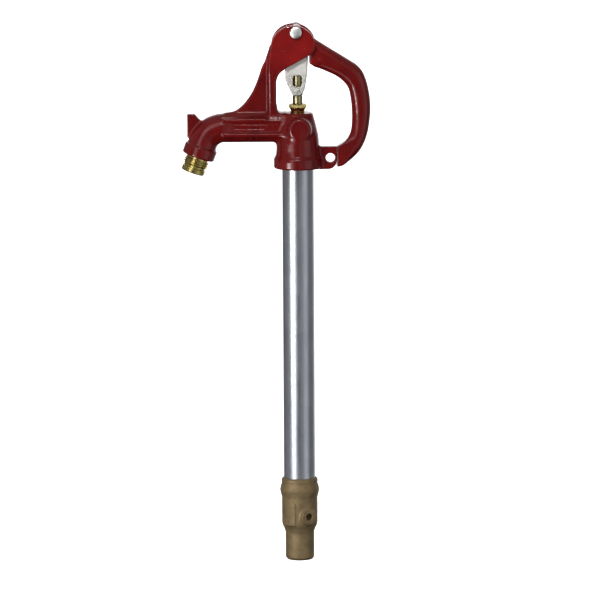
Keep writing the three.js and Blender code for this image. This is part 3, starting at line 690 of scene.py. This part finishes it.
def spout(x, y, z, outlet, outlet_radius):
    tube = rounded_and(np.hypot(spout_path(x, z), y) - SPOUT_RADIUS, outlet, 1.0)
    recess, bars = side_panel(x, y, z)
    tube = blend_cut(tube, recess, 1.0)
    tube = blend_union(tube, bars, 0.8)
    for bead in BEADS:
        left = (bead["left"], bead["depth"], bead["height"])
        right = (bead["right"], bead["depth"], bead["height"])
        tube = blend_union(tube, capsule(x, np.abs(y), z, left, right, BEAD_RADIUS), 1.6)
    collar = rounded_and(outlet_radius - COLLAR["radius"], between(outlet, -COLLAR["length"], 0.0), 1.4)
    return blend_union(tube, collar, 2.5)


def yoke(x, y, z):
    """Column and ears with the fork between them, the web over the spout and the foot by the nut."""
    half_depth = COLUMN_HALF + (EAR_OUTER - COLUMN_HALF) * smooth_step(z, *YOKE_WIDENS)
    rounding = 2.6 - 1.6 * smooth_step(z, *YOKE_SHARPENS)
    column = rounded_and(COLUMN(x, z), np.abs(y) - half_depth, rounding)
    web = rounded_and(WEB(x, z), np.abs(y) - WEB_HALF, 1.8)
    column = blend_union(column, web, 3.0)
    foot = rounded_and(WINDOW_FOOT(x, z), np.abs(y) - COLUMN_HALF, 2.0)
    column = blend_union(column, foot, 3.0)
    fork = np.maximum(np.maximum(FORK_BACK - x, np.abs(y) - EAR_INNER), FORK_FLOOR - z)
    return blend_cut(column, fork, 0.8)


def head_hollows(x, y, z, r, outlet, outlet_radius):
    """Water chamber, spout bore, stem hole, stuffing box and the nozzle's seat."""
    hollows = rounded_and(r - CHAMBER["radius"], between(z, CHAMBER["low"], CHAMBER["high"]), 3.0)
    bore = np.hypot(spout_path(np.minimum(x, BORE_START), z), y) - SPOUT_BORE
    seat_radius = NOZZLE["bore"] + NOZZLE["wall"] + FIT
    for hollow in (
        np.maximum(bore, x - BORE_START),
        np.maximum(r - STEM_RADIUS - STEM_GAP, -z),
        np.maximum(r - STUFFING["radius"], CAP_HEIGHT - STUFFING["depth"] - z),
        np.maximum(outlet_radius - seat_radius, -NOZZLE["spigot"] - FIT - outlet),
    ):
        hollows = np.minimum(hollows, hollow)
    return hollows


def head_distance(x, y, z):
    z = z - HEAD_Z
    r = np.hypot(x, y)
    outlet, outlet_radius = outlet_coordinates(x, y, z)
    solid = blend_union(head_body(x, y, z, r), spout(x, y, z, outlet, outlet_radius), 5.0)
    bail = rounded_and(BAIL(x, z), np.abs(y) - BAIL_HALF, 1.0)
    solid = blend_union(solid, bail, 2.5)
    solid = blend_union(solid, yoke(x, y, z), 4.5)
    lug = rounded_and(LUG(x + TIP_LEAN * (y + LUG_HALF), z), np.abs(y) - LUG_HALF, 0.5)
    solid = blend_union(solid, lug, 3.0)
    solid = solid + cast_waves(x, y, z, 33.0, 0.05)

    socket = np.maximum(r - SOCKET_RADIUS, z - PIPE_SOCKET_DEPTH)
    solid = blend_cut(solid, socket, 0.5)
    solid = np.maximum(solid, -head_hollows(x, y, z, r, outlet, outlet_radius))
    bolt = np.hypot(x - PIVOT.x, z - PIVOT_HEIGHT) - BOLT_HOLE
    solid = blend_cut(solid, bolt, 0.6)
    padlock = np.hypot(x - PADLOCK["x"], z - PADLOCK["z"]) - PADLOCK["radius"]
    return blend_cut(solid, padlock, 1.2)


head = cast_object("head", head_distance, HEAD_LOW, HEAD_HIGH, 0.75)
fit_piece(head, ENAMEL, "hydrant", "red_enamel", "head_casting")


# ---- Lever ----


LEVER_BOSS = 6.9
LINK_ROOM = {"radius": 6.3, "half": 4.5, "slope": 0.2}
TIP_STOCK = 2.0  # the outline passes the tip's leaning face by this much
TIP_TOP = 40.0  # the leaning face reaches no higher than this
LEVER_SHAPE = outline(
    arc(PIVOT.x, PIVOT_HEIGHT, LEVER_BOSS, 52, 180, 10)
    + arc(CRANK.x, CRANK_HEIGHT, LEVER_BOSS, 180, 300, 10)
    + [(12.4, 121.0), (12.4, 111.4)]
    + smooth_line([
        (18.0, 107.3), (26.4, 104.1), (39.9, 97.8), (48.2, 91.5), (53.4, 84.2), (56.0, 72.6),
        (57.1, 59.9), (57.0, 50.5), (56.3, 42.0), (54.2, 35.0), (49.6, 28.4), (LEVER_TIP, 23.2)], 5)
    + [(LEVER_TIP - TIP_STOCK, 22.3), (LEVER_TIP - TIP_STOCK, 1.0)]
    + smooth_line([
        (LEVER_TIP, 1.6), (46.7, 2.8), (52.4, 6.3), (60.4, 12.6), (67.8, 22.1), (73.0, 34.7), (75.4, 47.3),
        (76.6, 59.9), (76.4, 71.5), (74.3, 85.2), (70.8, 97.0), (66.6, 104.6), (60.9, 110.4)], 5)
    + [(20.3, 135.6)]
)


def lever_distance(x, y, z):
    z = z - HEAD_Z
    grip = smooth_step(x, 10.0, 26.0) * np.maximum(smooth_step(x, 46.0, 60.0), smooth_step(z, 26.0, 44.0))
    rounding = 1.6 + 6.8 * grip
    solid = rounded_and(LEVER_SHAPE(x, z), np.abs(y) - LEVER_HALF, rounding)
    leaning_face = LEVER_TIP - TIP_LEAN * (y + LUG_HALF) - x
    solid = np.where(z < TIP_TOP, rounded_and(solid, leaning_face, 0.4), solid)
    solid = solid + cast_waves(x, y, z, 29.0, 0.05)

    room = LINK_ROOM["radius"]
    eye = np.hypot(x - CRANK.x, z - CRANK_HEIGHT) - room
    below = np.maximum(x - CRANK.x - room, z - CRANK_HEIGHT)
    behind = np.maximum(x - CRANK.x, z - CRANK_HEIGHT - room - LINK_ROOM["slope"] * (CRANK.x - x))
    slot = np.maximum(np.minimum(eye, np.minimum(below, behind)), np.abs(y) - LINK_ROOM["half"])
    solid = blend_cut(solid, slot, 0.6)
    bolt = np.hypot(x - PIVOT.x, z - PIVOT_HEIGHT) - BOLT_HOLE
    pin = np.hypot(x - CRANK.x, z - CRANK_HEIGHT) - CRANK_HOLE
    return blend_cut(blend_cut(solid, bolt, 0.5), pin, 0.5)


lever = cast_object("handle_lever", lever_distance, *corners("lever"), 0.75)
fit_piece(lever, ENAMEL, "handle", "red_enamel", "lever")


# ---- Link ----

LINK_EYE = 5.5
LINK_SHOULDER = CRANK_HEIGHT - 10.0
TONGUE_HALF = 4.0
PLATE = 2.5
PLATE_TOP = LINK_SHOULDER - 2.0
LINK_FORK_TOP = 103.0
LINK_WINDOW = {"half": 4.8, "low": 3.5, "high": 15.7}  # heights over the link's lower pin


def link_outline():
    top, shoulder, neck = CRANK_HEIGHT, LINK_SHOULDER, LINK_PIN_HEIGHT
    return outline([
        (CRANK.x - LINK_EYE, top), (CRANK.x - LINK_EYE, shoulder), (-11.6, shoulder - 6),
        (-12.7, shoulder - 14), (-12.8, neck + 11.5), (-10.9, neck + 6), (-8.3, neck + 0.8),
        (-5.6, neck - 4.7), (-4.4, neck - 5.8), (2.8, neck - 5.8), (4.2, neck - 4.4), (7.2, neck - 0.3),
        (8.5, neck + 6), (9.9, neck + 15), (10.8, shoulder - 6), (CRANK.x + LINK_EYE, shoulder),
        (CRANK.x + LINK_EYE, top),
    ])


LINK_SHAPE = link_outline()


def link_distance(x, y, z):
    z = z - HEAD_Z
    side = LINK_SHAPE(x, z)
    plates = rounded_and(np.maximum(side, z - PLATE_TOP), np.abs(y) - LINK_HALF, 1.6)
    tongue = rounded_and(side, np.abs(y) - TONGUE_HALF, 0.6)
    around_eye = np.hypot(x - CRANK.x, z - CRANK_HEIGHT)
    eye = rounded_and(around_eye - LINK_EYE, np.abs(y) - TONGUE_HALF, 0.6)
    solid = blend_union(blend_union(plates, tongue, 1.5), eye, 0.8)
    fork = np.maximum(np.abs(y) - LINK_HALF + PLATE, z - LINK_FORK_TOP)
    solid = blend_cut(solid, fork, 0.5)
    for height, radius in ((CRANK_HEIGHT, CRANK_HOLE), (LINK_PIN_HEIGHT, LINK_PIN_HOLE)):
        solid = blend_cut(solid, np.hypot(x - CRANK.x, z - height) - radius, 0.4)
    window_height = between(z - LINK_PIN_HEIGHT, LINK_WINDOW["low"], LINK_WINDOW["high"])
    window = rounded_and(np.abs(x) - LINK_WINDOW["half"], window_height, 3.0)
    return blend_cut(solid, np.maximum(window, y), 0.8)  # open to the front only


link = cast_object("lift_link", link_distance, *corners("link"), 0.45)
fit_piece(link, ALLOY, "link", "cast_alloy", "link")


# ---- Valve body ----

VALVE_BODY = 18.9
HUB_RADIUS = 15.2
HUB_TOP = 29.5
VALVE_PROFILE = profile([
    (-4, 13.2), (0.0, 13.2), (2.4, HUB_RADIUS), (HUB_TOP, HUB_RADIUS), (34.0, 16.6), (37.0, 18.3),
    (39.5, VALVE_BODY), (VALVE_HEIGHT - 21.5, VALVE_BODY), (VALVE_HEIGHT - 17.0, 20.1),
    (VALVE_HEIGHT - 13.5, 20.9), (VALVE_HEIGHT - 9.5, 20.1), (VALVE_HEIGHT - 6.0, 18.9),
    (VALVE_HEIGHT - 4.4, 19.2), (VALVE_HEIGHT - 1.6, 19.0), (VALVE_HEIGHT + 0.4, 17.0),
    (VALVE_HEIGHT + 4, 17.0),
], ease=0.9)
STRAP_FLAT = outline([
    (-16.0, 38.0), (-4.5, 38.0), (-4.5, VALVE_HEIGHT - 28), (-8.5, VALVE_HEIGHT - 22),
    (-16.0, VALVE_HEIGHT - 22),
])
STRAP_PROUD = 0.75
STRAP_BACK = -4.0
# The drain is level with the middle of the two O-rings when the rod is up.
DRAIN_HEIGHT = (middle("plunger_o_ring_lower").z + middle("plunger_o_ring_upper").z) / 2 + ROD_TRAVEL
DRAIN = {
    "azimuth": math.radians(30), "radius": 9.0, "root": 6.0, "proud": 1.9, "tap": 3.5, "tap_depth": 6.0,
    "port": 1.4, "port_start": 8.0,
}
INLET = {"radius": 12.2, "depth": 12.5}
SEAT = {"radius": 6.5, "top": 17.0}
PLUNGER_ROOM = {"radius": 10.0, "low": 16.5, "flare": 3.3, "flare_length": 5.0}
VALVE_SOCKET = VALVE_HEIGHT - 18.0


def drain_coordinates(x, y, z):
    """Distance out along the drain's axis, and the distance from that axis."""
    facing = (math.sin(DRAIN["azimuth"]), -math.cos(DRAIN["azimuth"]))
    out = x * facing[0] + y * facing[1]
    along = x * facing[1] - y * facing[0]
    return out, np.hypot(along, z - DRAIN_HEIGHT)


def valve_hollows(r, z):
    """Seat and plunger room, which widens to the socket over the last few millimetres."""
    seat = np.maximum(r - SEAT["radius"], z - SEAT["top"])
    rise = z - VALVE_SOCKET + PLUNGER_ROOM["flare_length"]
    slope = PLUNGER_ROOM["flare"] / PLUNGER_ROOM["flare_length"]
    radius = PLUNGER_ROOM["radius"] + np.clip(rise * slope, 0.0, PLUNGER_ROOM["flare"])
    room = np.maximum(r - radius, np.maximum(PLUNGER_ROOM["low"] - z, z - VALVE_SOCKET - 1.0))
    return np.minimum(room, seat)


def valve_distance(x, y, z):
    r = np.hypot(x, y)
    out, from_axis = drain_coordinates(x, y, z)
    face = VALVE_BODY + DRAIN["proud"]
    solid = rounded_and(VALVE_PROFILE(r, z), between(z, 0.0, VALVE_HEIGHT), 0.7)
    boss = rounded_and(from_axis - DRAIN["radius"], np.maximum(out - face, DRAIN["root"] - out), 1.1)
    solid = blend_union(solid, boss, 2.2)
    pad = rounded_and(STRAP_FLAT(x, z), np.maximum(r - VALVE_BODY - STRAP_PROUD, y - STRAP_BACK), 0.7)
    solid = blend_union(solid, pad, 0.8)
    solid = solid + cast_waves(x, y, z, 17.0, 0.06)

    tap = np.maximum(from_axis - DRAIN["tap"], face - DRAIN["tap_depth"] - out)
    solid = blend_cut(solid, tap, 0.9)
    inlet = np.maximum(r - INLET["radius"], z - INLET["depth"])
    socket = np.maximum(r - SOCKET_RADIUS, VALVE_SOCKET - z)
    solid = blend_cut(solid, np.minimum(inlet, socket), 0.6)
    port = np.maximum(from_axis - DRAIN["port"], DRAIN["port_start"] - out)
    return np.maximum(solid, -np.minimum(valve_hollows(r, z), port))


valve = cast_object("valve_casting", valve_distance, *corners("valve_body"), 0.6)
fit_piece(valve, BRONZE, "hydrant", "bronze", "valve_body")


# ---- Turned and threaded pieces ----


def standpipe():
    low, high = PIPE_LOW.z, PIPE_HIGH.z
    return spun_object("galvanised_pipe", [
        (low, PIPE_BORE + 0.4), (low, PIPE_RADIUS - 0.6), (low + 0.6, PIPE_RADIUS), (high - 0.6, PIPE_RADIUS),
        (high, PIPE_RADIUS - 0.6), (high, PIPE_BORE + 0.4), (high - 0.4, PIPE_BORE), (low + 0.4, PIPE_BORE),
    ], sides=160, bored=True)


def hose_nozzle():
    n = NOZZLE
    bore, wall = n["bore"], n["bore"] + n["wall"]
    root, lip = n["outer"] - 1.5, n["outer"] - 0.9
    thread = n["neck"]
    groove = thread + n["thread"]
    shoulder = groove + n["groove"]
    end = shoulder + n["lip"]
    rings = [
        (-n["spigot"], bore), (-n["spigot"], wall - 0.2), (-n["spigot"] + 0.3, wall), (FIT, wall),
        (FIT, root - 0.8), (FIT + 0.4, root - 0.4), (thread - 0.3, root - 0.4), (thread, root),
    ]
    rings += thread_rings(thread, groove, root, n["outer"], n["pitch"], 96)
    rings += [
        (groove + 0.2, root - 0.4), (shoulder - 0.2, root - 0.4), (shoulder, lip - 0.4),
        (shoulder + 0.4, lip), (end - 0.9, lip), (end - 0.3, lip - 0.35), (end, lip - 1.0),
        (end, bore + 0.8), (end - 0.6, bore),
    ]
    origin = (SPOUT_END[0], 0.0, SPOUT_END[2] + HEAD_Z)
    return spun_object("hose_thread", rings, origin, OUT, bored=True)


PACKING_NUT = {"wall": 1.7, "low": 5.2, "high": 9.2, "corner": 10.5, "shank": 7.5, "cone": (0.8, 5.6)}


def packing_nut_distance(x, y, z):
    n = PACKING_NUT
    z = z - HEAD_Z - CAP_HEIGHT
    r = np.hypot(x, y)
    neck = STEM_RADIUS + n["wall"]
    flange = rounded_and(hexagon(x, y, n["corner"] * COS_30), between(z, n["low"], n["high"]), 0.5)
    from_middle = np.abs(z - (n["low"] + n["high"]) / 2)
    chamfer = (r - n["corner"] - 1.0 + 1.2 * from_middle) * 0.64
    flange = np.maximum(flange, chamfer)
    shank = rounded_and(r - neck, np.maximum(z - n["low"] - 1, -n["shank"] - z), 0.3)
    cone = rounded_and(r - neck - np.clip(z - 1.6, 0, 3.6) * 0.55, between(z, *n["cone"]), 0.4)
    solid = blend_union(blend_union(flange, shank, 0.8), cone, 0.8)
    return blend_cut(solid, r - STEM_RADIUS - FIT, 0.4)


def stem():
    low, high = corners("stem")
    thread = 3.8
    shoulder = corners("rod_end")[0].z - FIT
    return spun_object("brass_stem", [
        (low.z, 0), (low.z, STEM_RADIUS - 0.5), (low.z + 0.5, STEM_RADIUS), (shoulder - 0.4, STEM_RADIUS),
        (shoulder, STEM_RADIUS - 0.4), (shoulder, thread), (high.z - 0.5, thread), (high.z, thread - 0.5),
        (high.z, 0),
    ])


def pivot_bolt():
    front, end = corners("pivot_bolt")[0].y, corners("pivot_bolt")[1].y
    under = front + BOLT_HEAD
    shank, thread = BOLT_SHANK, EAR_OUTER - 2
    rings = [
        (front, 0), (front + 0.05, 3.0), (front + 0.35, 5.0), (front + 0.9, 6.0), (front + 1.5, 6.35),
        (under - 0.8, 6.4), (under - 0.15, 6.2), (under, 5.9), (under, shank), (thread, shank),
    ]
    rings += thread_rings(thread, end - 1.0, 3.45, shank, 1.25, 64)
    rings += [(end - 0.9, 3.4), (end, 2.7), (end, 0)]
    return spun_object("pivot_screw", rings, (PIVOT.x, 0, PIVOT.z), (0, 1, 0), sides=64)


def pivot_washer():
    low, high = corners("pivot_washer")
    radius = (high.x - low.x) / 2
    return spun_object("flat_washer", [
        (low.y, BOLT_HOLE), (low.y, radius - 0.25), (low.y + 0.25, radius), (high.y - 0.25, radius),
        (high.y, radius - 0.25), (high.y, BOLT_HOLE),
    ], (PIVOT.x, 0, PIVOT.z), (0, 1, 0), sides=64, bored=True)


def pivot_nut_distance(x, y, z):
    low, high = corners("pivot_nut")
    flat = (high.x - low.x) / 2
    px, pz = x - PIVOT.x, z - PIVOT.z
    deep = between(y, low.y, high.y)
    radius = np.hypot(px, pz)
    solid = rounded_and(hexagon(px, pz, flat), deep, 0.3)
    solid = np.maximum(solid, (radius - flat - 1.5 - 0.8 * deep) * 0.75)
    return blend_cut(solid, radius - BOLT_SHANK - 0.05, 0.5)


def link_pin():
    low, high = corners("link_pin")
    return spun_object("link_rivet", [
        (low.y, 0), (low.y + 0.1, 1.9), (low.y + 0.5, 2.9), (low.y + 0.9, 3.15), (low.y + 1.1, 3.0),
        (low.y + 1.1, 2.1), (high.y - 0.5, 2.1), (high.y, 1.7), (high.y, 0),
    ], (LINK_PIN.x, 0, LINK_PIN.z), (0, 1, 0), sides=48)


SLOT_END = (-3.0, -1.0)  # from the link's lower pin to the far end of the slot that it moves in
SLOT_HALF = 2.85


def rod_end_distance(x, y, z):
    low, high = corners("rod_end")
    solid = rounded_and(np.hypot(x, y) - high.x, between(z, low.z, high.z), 0.8)
    px, pz = x - LINK_PIN.x, z - LINK_PIN.z
    share = (px * SLOT_END[0] + pz * SLOT_END[1]) / (SLOT_END[0] ** 2 + SLOT_END[1] ** 2)
    share = np.clip(share, 0.0, 1.0)
    slot = np.hypot(px - SLOT_END[0] * share, pz - SLOT_END[1] * share) - SLOT_HALF
    return blend_cut(solid, slot, 0.4)


pipe = standpipe()
fit_piece(pipe, GALVANISED, "hydrant", "galvanised", "standpipe")
nozzle = hose_nozzle()
fit_piece(nozzle, BRASS, "hydrant", "brass", "hose_nozzle")
nut = cast_object("stem_nut", packing_nut_distance, *corners("packing_nut"), 0.35, 40)
fit_piece(nut, BRASS, "hydrant", "brass", "packing_nut")
fit_piece(stem(), STEM_BRASS, "lift_rod", "brass", "stem")
rod_end = cast_object("slotted_rod_end", rod_end_distance, *corners("rod_end"), 0.4, 40)
fit_piece(rod_end, STEM_BRASS, "lift_rod", "brass", "rod_end")
fit_piece(pivot_bolt(), ZINC, "hydrant", "zinc", "pivot_bolt")
fit_piece(pivot_washer(), ZINC, "hydrant", "zinc", "pivot_washer")
pivot_nut = cast_object("pivot_hex_nut", pivot_nut_distance, *corners("pivot_nut"), 0.3, 40)
fit_piece(pivot_nut, ZINC, "hydrant", "zinc", "pivot_nut")
fit_piece(link_pin(), ALLOY, "link", "steel", "link_pin")

# The pieces that keep their CAD mesh, with their materials.
CARRIED = {
    "packing_gland": BRASS, "packing_ring_1": GRAPHITE, "packing_ring_2": GRAPHITE,
    "packing_ring_3": GRAPHITE, "crank_pin": STEEL, "link_pin_clip": STEEL, "stem_coupling": BRASS,
    "lift_rod": STEEL, "rod_jam_nut": BRASS, "plunger_pin": STEEL, "plunger_body": BRONZE,
    "plunger_o_ring_lower": RUBBER, "plunger_o_ring_upper": RUBBER, "plunger_seal": RUBBER,
    "seal_washer": BRASS, "seal_screw": BRASS,
}
for node, finish in CARRIED.items():
    mesh = frame["nodes"][node].data
    mesh.materials.clear()
    mesh.materials.append(finish)


# ---- Stage, light and camera ----


def floor_material():
    """White by its own light, so that it meets the white behind it."""
    made = bpy.data.materials.new("pale_floor")
    made.use_nodes = True
    shader = made.node_tree.nodes["Principled BSDF"]
    shader.inputs["Base Color"].default_value = (0.86, 0.86, 0.86, 1)
    shader.inputs["Roughness"].default_value = 0.95
    shader.inputs["Specular IOR Level"].default_value = 0.0
    shader.inputs["Emission Color"].default_value = (1, 1, 1, 1)
    shader.inputs["Emission Strength"].default_value = 1.0
    return made


def floor():
    half = 12000.0
    square = [(-half, -half, 0), (half, -half, 0), (half, half, 0), (-half, half, 0)]
    made = mesh_object("floor", square, [(0, 1, 2, 3)])
    made.data.materials.append(floor_material())
    made.visible_glossy = False
    made.visible_diffuse = False
    made.visible_shadow = False


SOFT_BOXES = [
    {"name": "key", "place": (-0.45, -0.75, 0.98), "size": (0.50, 0.50), "power": 0.35, "aim": (0, 0, 0.50)},
    {"name": "gloss", "place": (-0.06, -1.25, 1.45), "size": (0.26, 0.09), "power": 1.4, "aim": (0, 0, 0.48)},
    {"name": "low", "place": (-0.72, -0.76, 0.16), "size": (0.30, 0.30), "power": 3.4, "aim": (0, 0, 0.05)},
]
SPOT_PLACE = (-0.08, -0.34, 0.80)
SPOT_AIM = (-0.006, -0.015, 0.545)


def place_light(light, place, aim):
    made = bpy.data.objects.new(light.name, light)
    made.location = place
    made.rotation_mode = "QUATERNION"
    made.rotation_quaternion = (Vector(aim) - Vector(place)).to_track_quat("-Z", "Y")
    bpy.context.scene.collection.objects.link(made)


def soft_box(name, place, size, power, aim):
    light = bpy.data.lights.new(name, "AREA")
    light.shape = "RECTANGLE"
    light.size, light.size_y = size
    light.energy = power
    place_light(light, place, aim)


def pivot_spot():
    """A small spot on the ears, which stand out brighter than the rest of the head."""
    light = bpy.data.lights.new("pivot_spot", "SPOT")
    light.energy = 4.2
    light.spot_size = math.radians(10)
    light.spot_blend = 0.8
    light.shadow_soft_size = 0.02
    place_light(light, SPOT_PLACE, SPOT_AIM)


ROOM = {"walls": 0.06, "below": 0.02, "low": -0.5, "high": 0.15}
CEILING = {"low": 0.35, "high": 0.95, "glow": 0.30}
PANELS = [
    {"azimuth": -30, "half_width": 9, "soft": 5, "low": -0.9, "high": 0.60, "glow": 1.35},
    {"azimuth": -4, "half_width": 20, "soft": 8, "low": 0.48, "high": 0.72, "glow": 0.9},
    {"azimuth": 16, "half_width": 11, "soft": 8, "low": -0.55, "high": 0.45, "glow": 0.28},
    {"azimuth": 52, "half_width": 20, "soft": 10, "low": -0.55, "high": 0.45, "glow": 0.62},
    {"azimuth": -92, "half_width": 34, "soft": 12, "low": -0.6, "high": 0.6, "glow": 0.20},
    {"azimuth": 108, "half_width": 24, "soft": 12, "low": -0.6, "high": 0.6, "glow": 0.18},
    {"azimuth": 172, "half_width": 34, "soft": 16, "low": -0.5, "high": 0.7, "glow": 1.1},
]
PANEL_END = 0.12  # a panel's light fades over this much height to each side of its ends


class Sky:
    """A world's node tree, with the arithmetic that its light is worked out by."""

    def __init__(self, tree):
        self.tree = tree

    def calculate(self, operation, *values):
        made = self.tree.nodes.new("ShaderNodeMath")
        made.operation = operation
        for socket, value in zip(made.inputs, values):
            if isinstance(value, (int, float)):
                socket.default_value = value
            else:
                self.tree.links.new(value, socket)
        return made.outputs[0]

    def ramp(self, value, low, high, to_low=0.0, to_high=1.0):
        made = self.tree.nodes.new("ShaderNodeMapRange")
        made.interpolation_type = "SMOOTHSTEP"
        for socket, number in zip(("From Min", "From Max", "To Min", "To Max"), (low, high, to_low, to_high)):
            made.inputs[socket].default_value = number
        self.tree.links.new(value, made.inputs["Value"])
        return made.outputs["Result"]

    def background(self, colour):
        made = self.tree.nodes.new("ShaderNodeBackground")
        made.inputs["Color"].default_value = (*colour, 1)
        return made

    def panel_light(self, panel, azimuth, height):
        centre, half = math.radians(panel["azimuth"]), math.radians(panel["half_width"])
        soft = math.radians(panel["soft"])
        off = self.calculate("ABSOLUTE", self.calculate("SUBTRACT", azimuth, centre))
        other_way = self.calculate("SUBTRACT", 2 * math.pi, off)
        wrapped = self.calculate("MINIMUM", off, other_way)
        across = self.ramp(wrapped, half - soft, half + soft, 1.0, 0.0)
        low = self.ramp(height, panel["low"] - PANEL_END, panel["low"] + PANEL_END)
        high = self.ramp(height, panel["high"] - PANEL_END, panel["high"] + PANEL_END, 1.0, 0.0)
        area = self.calculate("MULTIPLY", across, self.calculate("MULTIPLY", low, high))
        return self.calculate("MULTIPLY", area, panel["glow"])


def studio():
    """A soft room painted on the world: tall panels round the object, bright above and dark below.

    The eye sees plain white behind the floor; light and reflections come from the room.
    """
    world = bpy.data.worlds.new("studio")
    bpy.context.scene.world = world
    world.use_nodes = True
    tree = world.node_tree
    tree.nodes.clear()
    sky = Sky(tree)
    split = tree.nodes.new("ShaderNodeSeparateXYZ")
    tree.links.new(tree.nodes.new("ShaderNodeTexCoord").outputs["Generated"], split.inputs[0])

    # Azimuth is 0 in front of the object, from -pi to pi, and grows towards its right, +X.
    towards_front = sky.calculate("MULTIPLY", split.outputs["Y"], -1.0)
    azimuth = sky.calculate("ARCTAN2", split.outputs["X"], towards_front)
    height = split.outputs["Z"]
    ceiling = sky.ramp(height, CEILING["low"], CEILING["high"], 0.0, CEILING["glow"])
    walls = sky.ramp(height, ROOM["low"], ROOM["high"], ROOM["below"], ROOM["walls"])
    total = sky.calculate("ADD", ceiling, walls)
    for panel in PANELS:
        total = sky.calculate("ADD", total, sky.panel_light(panel, azimuth, height))

    room = sky.background((0.97, 0.98, 1.0))
    tree.links.new(total, room.inputs["Strength"])
    white = sky.background((1, 1, 1))
    choice = tree.nodes.new("ShaderNodeMixShader")
    tree.links.new(tree.nodes.new("ShaderNodeLightPath").outputs["Is Camera Ray"], choice.inputs[0])
    tree.links.new(room.outputs[0], choice.inputs[1])
    tree.links.new(white.outputs[0], choice.inputs[2])
    tree.links.new(choice.outputs[0], tree.nodes.new("ShaderNodeOutputWorld").inputs["Surface"])
    for box in SOFT_BOXES:
        soft_box(**box)
    pivot_spot()
    bpy.context.scene.view_settings.view_transform = "Standard"
    bpy.context.scene.view_settings.look = "Medium High Contrast"


CAMERA = {"distance": 7.0, "elevation": math.radians(8.74), "roll": math.radians(-0.31)}
CAMERA_TARGET = Vector((0.0014, 0.0, 0.278))
CAMERA_LENS = 397.3


def camera():
    data = bpy.data.cameras.new("camera")
    data.lens = CAMERA_LENS
    data.sensor_width = 36.0
    data.clip_end = 60.0
    made = bpy.data.objects.new("camera", data)
    lift = CAMERA["elevation"]
    away = Vector((0.0, -math.cos(lift), math.sin(lift)))
    made.location = CAMERA_TARGET + away * CAMERA["distance"]
    made.rotation_mode = "QUATERNION"
    aim = (-away).to_track_quat("-Z", "Y")
    made.rotation_quaternion = aim @ Matrix.Rotation(CAMERA["roll"], 3, "Z").to_quaternion()
    bpy.context.scene.collection.objects.link(made)
    bpy.context.scene.camera = made


floor()
studio()
camera()
